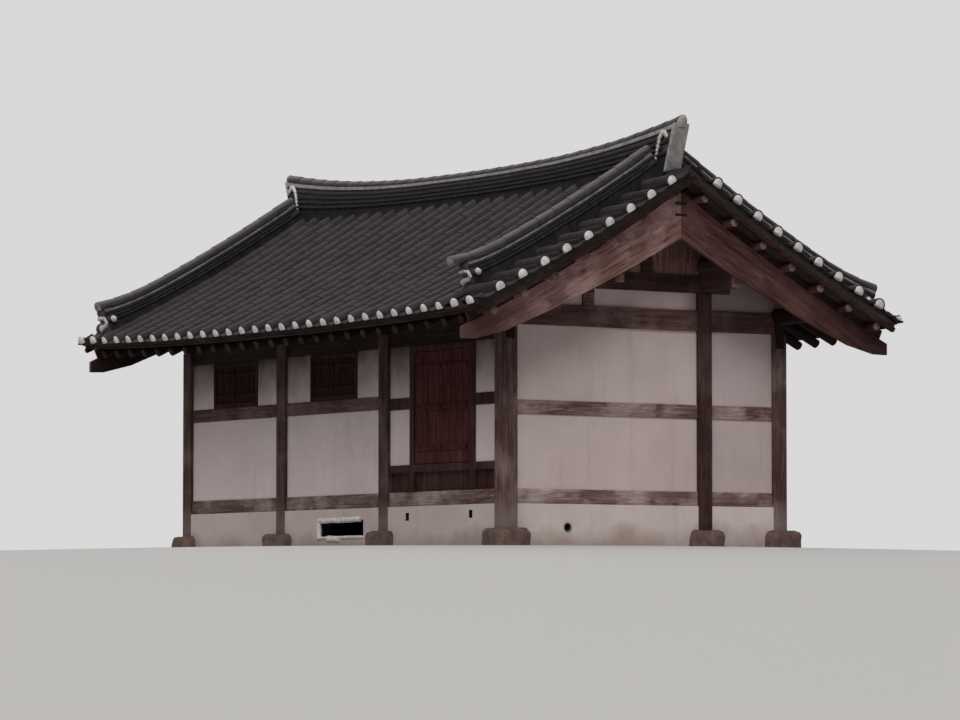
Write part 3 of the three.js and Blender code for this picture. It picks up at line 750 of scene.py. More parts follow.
def layTiles():
    rows, pitch, wobble = tiles["rows"], tiles["pitch"], tiles["wobble"]
    reach = (rows - 1) / 2 * pitch
    pair = [build(courseLength + tiles["overlap"]) for build in (coverTile, troughTile)]
    plug = limePlug(tiles["plugRadius"], courseLength * tiles["courses"] - 0.01)
    for tile in pair:
        shift(tile, -tiles["overlap"])
    single = [copyOf(tile, "sideTile") for tile in pair]
    for tile in pair:
        repeat(tile, tiles["courses"], courseLength)
    layRows(pair[0], (0, -reach, 0), rows, y=pitch)
    layRows(pair[1], (0, -reach - pitch / 2, -tiles["troughDrop"]), rows + 1, y=pitch)
    layRows(plug, (0, -reach, 0), rows, y=pitch)
    # the tiles laid sideways hide the outer rows, all but their ends at the eave
    hidden = tiles["vergeFirst"] + tiles["vergePitch"] * (tiles["vergeRows"] - 0.35)
    for tile in pair:
        editVerts(tile, lambda vert: abs(vert.co.x) > tiles["hiddenFrom"] and vert.co.y > -hidden)
        bpy.ops.mesh.select_linked()
        bpy.ops.mesh.delete(type="VERT")
        leaveEdit()
    return layFront("frontTiles", pair, wobble), layFront("frontPlugs", [plug], wobble), single


frontTiles, frontPlugs, sideTiles = layTiles()
print("field tiles laid")


def layVerge(end):
    inner, outer = tiles["vergeInner"], roof["halfLength"]
    length, count = (outer - inner) / 2, tiles["vergeRows"]
    first = slopeLength(tiles["vergeFirst"])
    last = slopeLength(tiles["vergeFirst"] + tiles["vergePitch"] * (count - 1))
    step = (last - first) / (count - 1)
    cover, trough = [copyOf(tile, "vergeTile") for tile in sideTiles]
    stretch(cover, length / courseLength)
    stretch(trough, length / courseLength, step / tiles["pitch"])
    for tile in (cover, trough):
        repeat(tile, 2, length)
    plug = limePlug(tiles["plugRadius"] + 0.002)
    for obj, place, rows in (
        (cover, (first, inner, 0), count),
        (trough, (first - step / 2, inner, -tiles["troughDrop"]), count + 1),
        (plug, (first, outer - 0.012, 0), count),
    ):
        obj.data.transform(quarterTurn)
        layRows(obj, place, rows, step)
        if end < 0:
            mirrorX(obj)
    wobble = tiles["vergeWobble"]
    return layFront("vergeTiles", [cover, trough], wobble), layFront("vergePlugs", [plug], wobble)


def layRoofSides():
    sides, plugs = zip(*[layVerge(end) for end in (1, -1)])
    discard(*sideTiles)
    front = joinAs("frontTiles", [frontTiles, *sides])
    frontEnds = joinAs("frontTilePlugs", [frontPlugs, *plugs])
    rear = copyOf(front, "rearTiles", halfTurn)
    rearEnds = copyOf(frontEnds, "rearTilePlugs", halfTurn)
    for slope, ends, node in (
        (front, frontEnds, "front_tile_slope"), (rear, rearEnds, "rear_tile_slope")
    ):
        dress(slope, tileField, [node])
        dress(ends, mortarWhite)


layRoofSides()
print("verge tiles laid")


bed = {"drop": 0.052, "drawnIn": 0.06, "eaveRise": 0.012}


def roofBed(label, side):
    # the mud bed under the tiles: the frame's slope with its top and rims drawn in
    slope = nodeCopy(label + "_tile_slope", label + "RoofBed")
    faces = [face for face in slope.data.polygons if face.normal.z > 0.3]
    top = {index for face in faces for index in face.vertices}
    eave, verge, inward = roof["halfDepth"] - 0.01, roof["halfLength"] - 0.01, bed["drawnIn"]
    moveVerts(slope, lambda vert: vert.index in top, (0, 0, -bed["drop"]))
    moveVerts(slope, lambda vert: abs(vert.co.y) > eave, (0, -side * inward, bed["eaveRise"]))
    for end in (-1, 1):
        moveVerts(slope, lambda vert: vert.co.x * end > verge, (-end * inward, 0, 0))
    dress(slope, mudBed)


roofBed("front", -1)
roofBed("rear", 1)


# Ridges of stacked tiles: built straight, then bent by a lattice that rises more at its top

ridge = {
    "half": 4.02,
    "topHalf": 4.29,
    "low": 4.077,
    "high": 4.609,
    "endRise": 0.296,
    "pieces": 30,
    "footLow": 4.112,
    "footTop": 4.282,
    "footHalfWidth": 0.118,
    # each course: height and half width
    "courses": ((4.292, 0.134), (4.338, 0.1275), (4.384, 0.121), (4.43, 0.1145), (4.476, 0.108)),
    "tileThickness": 0.026,
    "capAt": 4.52,
    "capRadius": 0.08,
    # half width, bottom and top, and for the plate its thickness
    "core": (0.1, 4.077, 4.506),
    "limeLine": (0.104, 4.494, 4.526),
    "endPlate": (0.112, 4.152, 4.532, 0.04),
    "plug": (0.072, 0.006),  # radius, and how far out and up
    "bends": 40,
    "wobble": 0.5,
    # the lime stroke on each face of the ridge: along, up and half width
    "hook": (
        (-4.12, 4.66, 0.03), (-4.085, 4.7, 0.034), (-4.04, 4.7, 0.034), (-3.99, 4.64, 0.03),
        (-3.96, 4.55, 0.028), (-3.935, 4.46, 0.026), (-3.905, 4.375, 0.024),
    ),
    "hookFace": 0.118,
}
descending = {
    "x": 3.9,
    "from": 0.07,
    # where each ends: the body, the cap above it, and the places
    "ends": (
        (2.86, 2.86, ("farFront", "nearRear", "farRear")),
        (2.6, 2.72, ("nearFront",)),
    ),
    "tipFrom": 2.1,
    "tipRise": 0.09,
    "low": -0.05,
    "high": 0.37,
    "pieces": 12,
    "footLow": -0.03,
    "footTop": 0.15,
    "footHalfWidth": 0.1,
    "courses": ((0.152, 0.112), (0.19, 0.108), (0.228, 0.106), (0.288, 0.1)),
    "tileThickness": 0.024,
    "capAt": 0.304,
    "capRadius": 0.072,
    "core": (0.085, -0.05, 0.294),
    "limeLine": (0.103, 0.258, 0.28),
    "endPlate": (0.088, -0.02, 0.274, 0.03),
    "plug": (0.06336, 0.004),
    "bends": 20,
    "wobble": 0.4,
    # lime on the end: across, up and half width, and the two lumps beside it
    "endStroke": (
        (-0.085, 0.19, 0.02), (-0.02, 0.203, 0.024), (0.07, 0.192, 0.023), (0.085, 0.145, 0.022),
        (0.03, 0.115, 0.025), (-0.075, 0.1, 0.033), (-0.15, 0.068, 0.04),
    ),
    "sideLumps": (0.11, 0.09, 0.165, 0.038),
}


def ridgeCourse(row, z, halfWidth, thickness, stagger=0, gap=0.004, taper=0.94):
    # flat tiles end to end along X with eased edges, shifted by half a tile where staggered
    start, length, count = row
    step = length / count
    low, high = (start, -halfWidth, z), (start + step - gap, halfWidth, z + thickness)
    tile = addBox("course", low, high)
    scaleVerts(tile, lambda vert: vert.co.z > z + thickness / 2, (1, taper, 1), (start, 0, z))
    softenEdges(tile, 0.004, 1)
    shift(tile, stagger * step / 2)
    repeat(tile, count - stagger, step)
    return tile


def capRow(row, z, radius, lap=0.03):
    # cover tiles end to end along the top
    start, length, count = row
    step = length / count
    tile = coverTile(step + lap)
    share = radius / tiles["coverRadius"]
    stretch(tile, 1, share, share)
    shift(tile, start - lap, 0, z)
    repeat(tile, count, step)
    return tile


def limeEnd(x, outward, halfWidth, low, high, thickness):
    # a hand-plastered end of a ridge, with soft corners
    near, far = sorted((x, x + outward * thickness))
    plate = addBox("end", (near, -halfWidth, low), (far, halfWidth, high))
    softenEdges(plate, 0.014)
    cutFiner(plate, 2)
    unsettle(plate, 0.012, 0.06, "NORMAL")
    return plate


def ridgeParts(sizes, start, end, capEnd, bothEnds=False):
    # a straight ridge along X: its tiles, cap, core, lime line, end plates and plugs
    count, capZ, inset = sizes["pieces"], sizes["capAt"], 0.02
    row, footLow = (start, end - start, count), sizes["footLow"]
    stack = [ridgeCourse(row, footLow, sizes["footHalfWidth"], sizes["footTop"] - footLow)]
    for i, (z, halfWidth) in enumerate(sizes["courses"]):
        stack.append(ridgeCourse(row, z, halfWidth, sizes["tileThickness"], i % 2))
    cap = capRow((start, capEnd - start, count), capZ, sizes["capRadius"])
    bars = []
    for name in ("core", "limeLine"):
        halfWidth, low, high = sizes[name]
        near, far = (start + inset, -halfWidth, low), (end - inset, halfWidth, high)
        bars.append(addSlab(name, near, far, sizes["bends"]))
    plates, plugs = [], []
    radius, out = sizes["plug"]
    for side, x, capX in ((-1, start, start), (1, end, capEnd)):
        if side > 0 or bothEnds:
            plates.append(limeEnd(x - side * inset, side, *sizes["endPlate"]))
            plugs.append(limePlug(radius, capX + side * out, capZ + out))
    return stack, [cap], bars[:1], bars[1:], plates, plugs


def limeSmear(name, path, y=0.0, thickness=0.02):
    # lime wiped on by hand: blobs along a path of x, z and radius, merged into one lump
    blobs = []
    for start, end in zip(path, path[1:]):
        for share in (0, 0.5):
            x, z, radius = [a + (b - a) * share for a, b in zip(start, end)]
            blobs.append(addBall("blob", radius, (x, y, z), (1, thickness / radius, 1)))
    lump = joinAs(name, blobs)
    modify(lump, "REMESH", mode="VOXEL", voxel_size=0.008)
    modify(lump, "SMOOTH", iterations=6)
    unsettle(lump, 0.01, 0.04, "NORMAL")
    lump.data.shade_smooth()
    return lump


def ridgeHooks():
    # where each descending ridge meets the main ridge, on both faces
    hook = limeSmear("hook", ridge["hook"], -ridge["hookFace"])
    mirrored = copyOf(hook, "hook")
    mirrorX(mirrored)
    rear = [copyOf(obj, "hook", halfTurn) for obj in (hook, mirrored)]
    dress(joinAs("ridgeHooks", [hook, mirrored] + rear), mortarWhite)


def mainRidge():
    half = ridge["half"]

    def endRise(x):
        return ridge["endRise"] * (abs(x) / half) ** 2.6

    low, high = (-half - 0.1, -0.3, ridge["low"]), (half + 0.1, 0.3, ridge["high"])
    lattice = upLattice("ridgeLattice", low, high, liftAt, endRise, ridge["topHalf"] / half)
    stack, cap, core, line, plates, plugs = ridgeParts(ridge, -half, half, half, bothEnds=True)
    for name, parts, material, slot, node in (
        ("mainRidge", stack, tileRidge, "roof_tile", ["roof_ridges"]),
        ("mainRidgeCap", cap, tileCap, "roof_tile", ()),
        ("mainRidgeCore", core, mortarDark, "roof_tile", ()),
        ("mainRidgeLime", line + plates + plugs, mortarDull, "plaster", ()),
    ):
        piece = joinAs(name, parts)
        unsettle(piece, 0.008, ridge["wobble"])
        modify(piece, "LATTICE", object=lattice)
        dress(piece, material, node)
    discard(lattice)


def endLime(end):
    # the stroke on the end of a descending ridge, and a lump on either side of it
    stroke = limeSmear("stroke", descending["endStroke"])
    stroke.data.transform(quarterTurn)
    shift(stroke, end + 0.012)
    aside, back, up, radius = descending["sideLumps"]
    lime = [stroke]
    for side in (-1, 1):
        lump = addBall("lump", radius, (end - back, side * aside, up), segments=16, rings=10)
        unsettle(lump, 0.012, 0.03, "NORMAL")
        lump.data.shade_smooth()
        lime.append(lump)
    return lime


def descendingRidges(to, capTo, places):
    runs = (descending["from"], to, capTo, descending["tipFrom"])
    start, end, capEnd, tipStart = [slopeLength(run) for run in runs]

    def tip(x):
        return descending["tipRise"] * (max(0, x - tipStart) / (capEnd - tipStart)) ** 2

    low, high = (start - 0.1, -0.3, descending["low"]), (capEnd + 0.1, 0.3, descending["high"])
    lattice = upLattice("tipLattice", low, high, lambda x: 0.0, tip)
    stack, cap, core, line, plates, plugs = ridgeParts(descending, start, end, capEnd)
    for name, parts, material, slot in (
        ("DescendingRidge", stack, tileRidge, "roof_tile"),
        ("DescendingCap", cap, tileCap, "roof_tile"),
        ("DescendingCore", core + plates, mortarDark, "roof_tile"),
        ("DescendingLine", line + plugs, mortarGrey, "plaster"),
        ("DescendingLime", endLime(end), mortarWhite, "plaster"),
    ):
        laid = joinAs(name, parts)
        unsettle(laid, 0.008, descending["wobble"])
        modify(laid, "LATTICE", object=lattice)
        bendDown(laid)
        for place in places:
            # the rear ones are laid on the front slope too, and turned round with it
            x = descending["x"] if place in ("nearFront", "farRear") else -descending["x"]
            twin = copyOf(laid, place + name, Matrix.Translation((x, 0, liftAt(x))))
            if "Rear" in place:
                twin.data.transform(halfTurn)
            dress(twin, material)
        discard(laid)
    discard(lattice)


mainRidge()
ridgeHooks()
for to, capTo, places in descending["ends"]:
    descendingRidges(to, capTo, places)
print("ridges stacked")


# Rafters, roof boards and the battens along the eaves and verges

eaves = {
    # the top of the roof boards, as run and height: at the ridge, the break and the edge
    "boardTop": ((0.0, 3.93), (0.81, 3.48), (2.84, 2.50)),
    "boardThickness": 0.025,
    "halfLength": 4.187,
    "planks": 66,
    # of the lower rafters at the wall and at their ends, and of the upper ones
    "rafterRadii": (0.061, 0.052, 0.056),
    "rafterPitch": 0.3375,
    "rafters": 25,
    "rafterDrop": 0.0837,
    "rafterFrom": (0.73, 0.06),  # the lower ones, the upper ones
    "rafterEnd": 2.862,
    "trimHalfLength": 4.455,
    # across and up, from and to: the batten under the eave tiles and the boarding behind it
    "batten": (-2.905, 2.482, -2.848, 2.53),
    "underside": (-2.94, 2.518, -2.84, 2.53),
    # the board cut to the tiles: the same, and how far it rises under a cover tile
    "scallops": (-2.945, 2.528, -2.918, 2.55),
    "scallopRise": 0.038,
    # along and up from the tile bed: the verge batten, and the infill over the bargeboard
    "vergeStrips": ((4.415, 4.47, -0.17, -0.118), (4.2, 4.23, -0.255, -0.13)),
    "vergeEnd": 2.96,
}
breakRun, edgeRun = eaves["boardTop"][1][0], eaves["boardTop"][2][0]


def boardTopAt(run):
    lower = 0 if run < breakRun else 1
    (run0, z0), (run1, z1) = eaves["boardTop"][lower:lower + 2]
    return z0 - (z0 - z1) / (run1 - run0) * (run - run0)


def rafterRow(start, end, radius, endRadius, sides):
    x = -(eaves["rafters"] - 1) / 2 * eaves["rafterPitch"]
    ends = [(x, -run, boardTopAt(run) - eaves["rafterDrop"]) for run in (start, end)]
    rafter = addPole("rafter", *ends, radius, sides, endRadius)
    softenEdges(rafter, 0.006, 1)
    shadeByAngle(rafter)
    repeat(rafter, eaves["rafters"], eaves["rafterPitch"])
    return rafter


def plankRow(start, end):
    width, x = 2 * eaves["halfLength"] / eaves["planks"], -eaves["halfLength"]
    top = boardTopAt(start)
    low = (x + 0.001, -end, top - eaves["boardThickness"])
    plank = addBox("plank", low, (x + width - 0.001, -start, top))
    middle = -(start + end) / 2
    moveVerts(plank, lambda vert: vert.co.y < middle, (0, 0, boardTopAt(end) - top))
    softenEdges(plank, 0.003, 1)
    repeat(plank, eaves["planks"], width)
    return plank


def vergeStrip(inner, outer, low, high):
    # follows the slope under the verge tiles
    strip = addSlab("strip", (0.02, inner, low), (slopeLength(eaves["vergeEnd"]), outer, high), 30)
    softenEdges(strip, 0.005, 1)
    bendDown(strip)
    return strip


def scallopBoard(steps=8):
    # high under each cover tile and low under each trough
    pitch, start = tiles["pitch"], -tiles["pitch"] * tiles["rows"] / 2
    y0, z0, y1, z1 = eaves["scallops"]
    board, top = addSlab("scallops", (start, y0, z0), (start + pitch, y1, z1), steps), z1 - 0.01
    for i in range(steps + 1):
        x = start + pitch * i / steps
        rise = eaves["scallopRise"] * math.cos((i / steps - 0.5) * math.pi) ** 2
        moveVerts(board, lambda vert: abs(vert.co.x - x) < 0.005 and vert.co.z > top, (0, 0, rise))
    repeat(board, tiles["rows"], pitch)
    return board


def eaveTrim():
    length, bars = eaves["trimHalfLength"], []
    for name in ("batten", "underside"):
        y0, z0, y1, z1 = eaves[name]
        bars.append(addSlab(name, (-length, y0, z0), (length, y1, z1), 40))
    softenEdges(bars[0], 0.005, 1)
    verges = [vergeStrip(*place) for place in eaves["vergeStrips"] for end in (1, -1)]
    for strip in verges[1::2]:
        mirrorX(strip)
    return bars + [scallopBoard()] + verges


def atRafterEnd(at, normal):
    return abs(at.y) > eaves["rafterEnd"] - 0.012


def buildEaves():
    thick, thin, upperThick = eaves["rafterRadii"]
    lowerFrom, upperFrom = eaves["rafterFrom"]
    lower = rafterRow(lowerFrom, eaves["rafterEnd"], thick, thin, 14)
    upper = rafterRow(upperFrom, breakRun, upperThick, upperThick, 8)
    planks = [plankRow(breakRun, edgeRun), plankRow(0.001, breakRun)]
    for name, parts in (
        ("Rafters", [lower, upper]), ("RoofBoards", planks), ("EaveTrim", eaveTrim())
    ):
        isRafters = name == "Rafters"
        front = joinAs("front" + name, parts)
        if isRafters:
            unsettle(front, 0.01, 0.5)
        modify(front, "LATTICE", object=roofLattice)
        rear = copyOf(front, "rear" + name, halfTurn)
        for piece, label in ((front, "front"), (rear, "rear")):
            finish = "batten" if name == "EaveTrim" else label + "Rafter"
            replaced = [label + "_rafters"] if isRafters else ()
            dress(piece, wood[finish], replaced)
            if isRafters:
                paintFaces(piece, wood["rafterEnd"], atRafterEnd)


buildEaves()
print("rafters and eave boards set")


# Frame timbers: the CAD members with worn edges

timbers = (
    ("longBeam", "front_eave_beam rear_eave_beam ridge_purlin"),
    ("purlin", "front_middle_purlin rear_middle_purlin"),
    ("crossBeam", "near_gable_frame far_gable_frame inner_frame_1 inner_frame_2"),
    ("lowerRail", "front_lower_rail"), ("middleRail", "front_middle_rail"),
    ("lowerRail", "rear_lower_rail"), ("middleRail", "rear_middle_rail"),
    ("gableLowerRail", "near_lower_rail"), ("gableMiddleRail", "near_middle_rail"),
    ("gableLowerRail", "far_lower_rail"), ("gableMiddleRail", "far_middle_rail"),
    ("highPost", "near_high_post far_high_post"),
    ("doorFrame", "door_frame"),
    ("windowFrame", "window_1 window_2"),
    ("frontBarge", "near_front_bargeboard far_front_bargeboard"),
    ("rearBarge", "near_rear_bargeboard far_rear_bargeboard"),
    ("post", "front_post_1 rear_post_1 front_post_2 rear_post_2 front_post_3 rear_post_3"),
    ("cornerPost", "front_post_4 rear_post_4"),
)
upperBeamFrom = 2.88
# a second finish: part of the node's name, the finish, and the faces that take it
paintedParts = (
    ("purlin", wood["endGrain"], lambda at, normal: abs(at.x) > 4.18 and abs(normal.x) > 0.5),
    # the plaster strip above each eave beam, painted dark as shade under the eaves
    ("eave_beam", plaster["dull"], lambda at, normal: at.z > 2.81 and abs(normal.y) > 0.5),
    ("gable_frame", wood["upperBeam"], lambda at, normal: at.z > upperBeamFrom),
    # the bargeboards' inner faces, painted dark as shade under the verges
    ("bargeboard", wood["longBeam"], lambda at, normal: at.x * normal.x < -2),
    ("bargeboard", wood["endGrain"], lambda at, normal: abs(at.x) > 4.41),
)


def dressTimber(name, finish):
    piece = nodeCopy(name, pieceName(name))
    if "gable_frame" in name:
        cutAt(piece, "Z", upperBeamFrom)
    softenEdges(piece, 0.008)
    shadeByAngle(piece, 35)
    dress(piece, wood[finish], [name])
    for part, material, choose in paintedParts:
        if part in name:
            paintFaces(piece, material, choose)


for finish, names in timbers:
    for name in names.split():
        dressTimber(name, finish)
print("frame timbers dressed")


# The base: footing stones, the fire hole and the vents

base = {
    "postX": (-3.5, -1.24, 1.07, 3.5),
    "postY": (-1.89, 1.89),
    "highPostY": 0.81,
    "stoneSize": 0.43,
    "stoneTop": 0.2,
    "stoneBottom": -0.08,
    "stoneEdge": 0.07,
    "stoneGrowth": 0.05,
    "stoneTurn": 0.13,
    "footingReach": 0.172,
    # the fire hole: x, z, width and height
    "fireHole": (0.14, 0.245, 0.98, 0.2),
    # where it and the two small vents are: x and half width
    "holes": ((0.14, 0.5), (1.585, 0.04), (2.91, 0.04)),
    "holeHeights": (0.05, 0.42),
    # the round vent: y, z and radius
    "gableVent": (-1.112, 0.218, 0.045),
    "wallFace": -1.975,
    "gableFace": 3.585,
}
footings = [(x, y) for x in base["postX"] for y in base["postY"]]
footings += [(x, base["highPostY"]) for x in (base["postX"][0], base["postX"][-1])]


def footingStones():
    # rough blocks, each with its own turn and size
    half, stones = base["stoneSize"] / 2, []
    for i, (x, y) in enumerate(footings):
        low, high = (-half, -half, base["stoneBottom"]), (half, half, base["stoneTop"] + 0.004)
        stone = addBox("stone", low, high)
        softenEdges(stone, base["stoneEdge"], 3)
        cutFiner(stone, 2)
        stretch(stone, 1 + base["stoneGrowth"] * (i % 4), 1 + base["stoneGrowth"] * (i % 3))
        stone.data.transform(Matrix.Rotation(base["stoneTurn"] * (i % 3 - 1), 4, "Z"))
        shift(stone, x, y)
        unsettle(stone, 0.05, 0.12, "NORMAL")
        cutAt(stone, "Z", 0, "above", fill=True)
        shadeByAngle(stone, 50)
        stones.append(stone)
    dress(joinAs("footingStones", stones), footingStone)


def onFooting(at, normal):
    # the faces of the square footings, which are stone like the rough ones round them
    reach = base["footingReach"]
    near = any(abs(at.x - x) < reach and abs(at.y - y) < reach for x, y in footings)
    return near and at.z < base["stoneTop"] + 0.001


def insideHole(at, normal):
    # the inner faces of the fire hole and the two small vents
    low, high = base["holeHeights"]
    inWall = abs(normal.y) < 0.5 and abs(at.y - base["postY"][0]) < 0.06 and low < at.z < high
    return inWall and any(abs(at.x - x) < halfWidth for x, halfWidth in base["holes"])


def insideVent(at, normal):
    y, z, radius = base["gableVent"]
    return math.hypot(at.y - y, at.z - z) < radius + 0.01 and abs(normal.x) < 0.5


def baseWalls():
    # the plastered base, blackened inside its openings
    openings = {"front_base": insideHole, "near_gable_base": insideVent}
    for name in ("front_base", "rear_base", "near_gable_base", "far_gable_base"):
        wall = nodeCopy(name, pieceName(name))
        dress(wall, plaster["base"], [name])
        paintFaces(wall, footingStone, onFooting)
        if name in openings:
            paintFaces(wall, soot, openings[name])


def openingRims():
    # a hand-shaped lime lip round the fire hole, and a clay pipe at the gable vent
    x, z, width, height = base["fireHole"]
    left, right, low, high = x - width / 2, x + width / 2, z - height / 2, z + height / 2
    bars = []
    for x0, z0, x1, z1, radius in (
        (left, low - 0.01, left, high + 0.02, 0.03),
        (left - 0.02, high, right - 0.06, high + 0.008, 0.032),
        (left - 0.02, low, right + 0.01, low, 0.016),
        (left + 0.2, low - 0.01, left + 0.46, low - 0.016, 0.034),
    ):
        ends = (x0, base["wallFace"], z0), (x1, base["wallFace"], z1)
        bar = addPole("rim", *ends, radius, 12)
        softenEdges(bar, 0.008)
        cutFiner(bar, 8)
        unsettle(bar, 0.014, 0.08, "NORMAL")
        shadeByAngle(bar, 60)
        bars.append(bar)
    dress(joinAs("fireHoleRim", bars), mortarWhite)
    y, z, radius = base["gableVent"]
    ring = addRing("gableVentRim", radius + 0.004, 0.008, (base["gableFace"], y, z), (0, 90, 0))
    dress(ring, mortarGrey)


footingStones()
baseWalls()
openingRims()
print("base finished")


# Door leaves and window shutters of planks on battens

doors = {
    # piece, body, CAD node, side and pivot x
    "leaves": (
        ("leftLeaf", "left_door", "door_leaf_left", -1, 1.726),
        ("rightLeaf", "right_door", "door_leaf_right", 1, 2.844),
    ),
    "pivotY": -1.934,
    "middle": 2.285,
    "gap": 0.003,
    "out": 0.016,
    "low": 0.964,
    "high": 2.254,
    "planks": 4,
    "plankThickness": 0.03,
    "stileRadius": 0.0198,
    "pivotRadius": 0.013,
    "pivotEnds": (0.94, 2.272),
    "battens": (0.14, 0.5, 0.86),
    "battenHeight": 0.07,
    "battenDepth": 0.018,
    "battenInset": (0.045, 0.012),  # at the pivot and at the free edge
    "ringHeight": 1.6,
    "ringInset": 0.06,
}
shutters = {
    "middles": (-2.37, -0.085),
    "halfWidth": 0.47,
    "gap": 0.003,
    "low": 1.835,
    "high": 2.267,
    "face": -1.925,
    "out": 0.012,
    "planks": 3,
    "battens": (0.2, 0.8),
    "battenHeight": 0.05,
    "battenDepth": 0.013,
    "battenInset": (0.02, 0.01),  # at the left and at the right
    "nailInset": 0.04,
    "ringHeight": 2.071,
    "ringInset": 0.045,
}
ironwork = {
    "nailRadius": 0.009,
    # radius, and thickness or length
    "plate": (0.028, 0.004),
    "ring": (0.032, 0.0035),
    "staple": (0.005, 0.014),
    "ringOut": 0.009,
    "ringDrop": 0.03,
    "ringLean": 84,
}


def plankPanel(panel, x0, x1, y0, y1, seam=0.003):
    step = (x1 - x0) / panel["planks"]
    planks = []
    for i in range(panel["planks"]):
        low = (x0 + i * step + seam / 2, y0, panel["low"])
        plank = addBox("plank", low, (x0 + (i + 1) * step - seam / 2, y1, panel["high"]))
        softenEdges(plank, 0.003, 1)
        planks.append(plank)
    return planks


def nailedBattens(panel, x0, x1, outer, nailInset):
    # battens across a panel, and a row of round nail heads along each
    bars, nails = [], []
    half, face = panel["battenHeight"] / 2, outer - panel["battenDepth"]
    count = panel["planks"] * 2
    for share in panel["battens"]:
        z = panel["low"] + share * (panel["high"] - panel["low"])
        bar = addBox("batten", (x0, face, z - half), (x1, outer, z + half))
        softenEdges(bar, 0.006)
        bars.append(bar)
        at = (x0 + nailInset, face, z)
        nail = addBall("nail", ironwork["nailRadius"], at, (1, 0.5, 1), 10, 6)
        nail.data.shade_smooth()
        repeat(nail, count, (x1 - x0 - 2 * nailInset) / (count - 1))
        nails.append(nail)
    return bars, nails


def ringPull(x, outer, z):
    # a round plate, and a ring that hangs on its staple
    y, flat = outer - 0.001, (math.radians(90), 0, 0)
    (radius, depth), (hoopRadius, hoopThickness) = ironwork["plate"], ironwork["ring"]
    bpy.ops.mesh.primitive_cylinder_add(
        vertices=20, radius=radius, depth=depth, location=(x, y, z), rotation=flat
    )
    plate = settled("plate")
    softenEdges(plate, 0.001, 1)
    at = (x, y - ironwork["ringOut"], z - ironwork["ringDrop"])
    hoop = addRing("hoop", hoopRadius, hoopThickness, at, (ironwork["ringLean"], 0, 0))
    radius, length = ironwork["staple"]
    return [plate, hoop, addPole("staple", (x, y, z), (x, y - length, z), radius, 10)]


def doorLeaf(name, body, node, side, pivot):
    y, low, high = doors["pivotY"], doors["low"], doors["high"]
    pinLow, pinHigh = doors["pivotEnds"]
    free = doors["middle"] + side * doors["gap"]
    x0, x1 = sorted((pivot, free))
    outer = y - doors["out"]
    wooden = plankPanel(doors, x0, x1, outer, outer + doors["plankThickness"])
    stile = addPole("stile", (pivot, y, low), (pivot, y, high), doors["stileRadius"], 20)
    softenEdges(stile, 0.004, 1)
    pin = addPole("pin", (pivot, y, pinLow), (pivot, y, pinHigh), doors["pivotRadius"], 16)
    atPivot, atFree = doors["battenInset"]
    left, right = sorted((pivot - side * atPivot, free + side * atFree))
    bars, nails = nailedBattens(doors, left, right, outer, (right - left) / doors["planks"] * 0.3)
    pull = ringPull(free + side * doors["ringInset"], outer, doors["ringHeight"])
    leaf = joinAs(name, wooden + [stile, pin] + bars)
    shadeByAngle(leaf, 35)
    dress(leaf, wood["door"], [node], body)
    dress(joinAs(name + "Iron", nails + pull), iron, body=body)


def windowShutters(name, middle):
    wooden, metal = [], []
    outer, (atLeft, atRight) = shutters["face"] - shutters["out"], shutters["battenInset"]
    for side in (-1, 1):
        edge, free = middle + side * shutters["halfWidth"], middle + side * shutters["gap"]
        x0, x1 = sorted((edge, free))
        wooden += plankPanel(shutters, x0, x1, outer, shutters["face"] + 0.002)
        left, right = x0 + atLeft, x1 - atRight
        bars, nails = nailedBattens(shutters, left, right, outer, shutters["nailInset"])
        wooden += bars
        ringX = free + side * shutters["ringInset"]
        metal += nails + ringPull(ringX, outer, shutters["ringHeight"])
    dress(joinAs(name, wooden), wood["shutter"])
    dress(joinAs(name + "Iron", metal), iron)


for leaf in doors["leaves"]:
    doorLeaf(*leaf)
for index, middle in enumerate(shutters["middles"]):
    windowShutters("shutters%d" % (index + 1), middle)
print("door and shutters hung")


# Gable tops: plaster below the upper beam, boards above it

gables = {
    "boardsFrom": 3.13,
    "boardWidth": 0.165,
    "boards": 14,
    "boardsOut": 0.012,
    "seam": 0.004,
    "strapX": 4.24,
    "strapDrops": (0.28, 0.41, 0.54),
    "strapHalfSize": (0.005, 0.08, 0.014),
}


def gableBoards(label, end):
    source = nodeCopy(label + "_gable_top", "gableBoards")
    shift(source, end * gables["boardsOut"])
    cutAt(source, "Z", gables["boardsFrom"], "above", fill=True)
    width, half = gables["boardWidth"], gables["seam"] / 2
    boards = []
    for i in range(gables["boards"]):
        left = (i - gables["boards"] / 2) * width
        board = copyOf(source, "board")
        cutAt(board, "Y", left + half, "above", fill=True)
        cutAt(board, "Y", left + width - half, "below", fill=True)
        if board.data.polygons:
            boards.append(board)
        else:
            discard(board)
    discard(source)
    dress(joinAs(label + "GableBoards", boards), wood["gableBoard"])


def apexStraps():
    # iron straps over the joint of each pair of bargeboards
    straps, half = [], Vector(gables["strapHalfSize"])
    for x in (gables["strapX"], -gables["strapX"]):
        for drop in gables["strapDrops"]:
            at = Vector((x, 0, crownAt(0) + liftAt(x) - drop))
            strap = addBox("strap", at - half, at + half)
            softenEdges(strap, 0.002, 1)
            straps.append(strap)
    dress(joinAs("apexStraps", straps), iron)


for label, end in (("near", 1), ("far", -1)):
    gableBoards(label, end)
    name = label + "_gable_top"
    dress(nodeCopy(name, pieceName(name)), plaster["strip"], [name])
apexStraps()
print("gables finished")


# Camera, light and floor

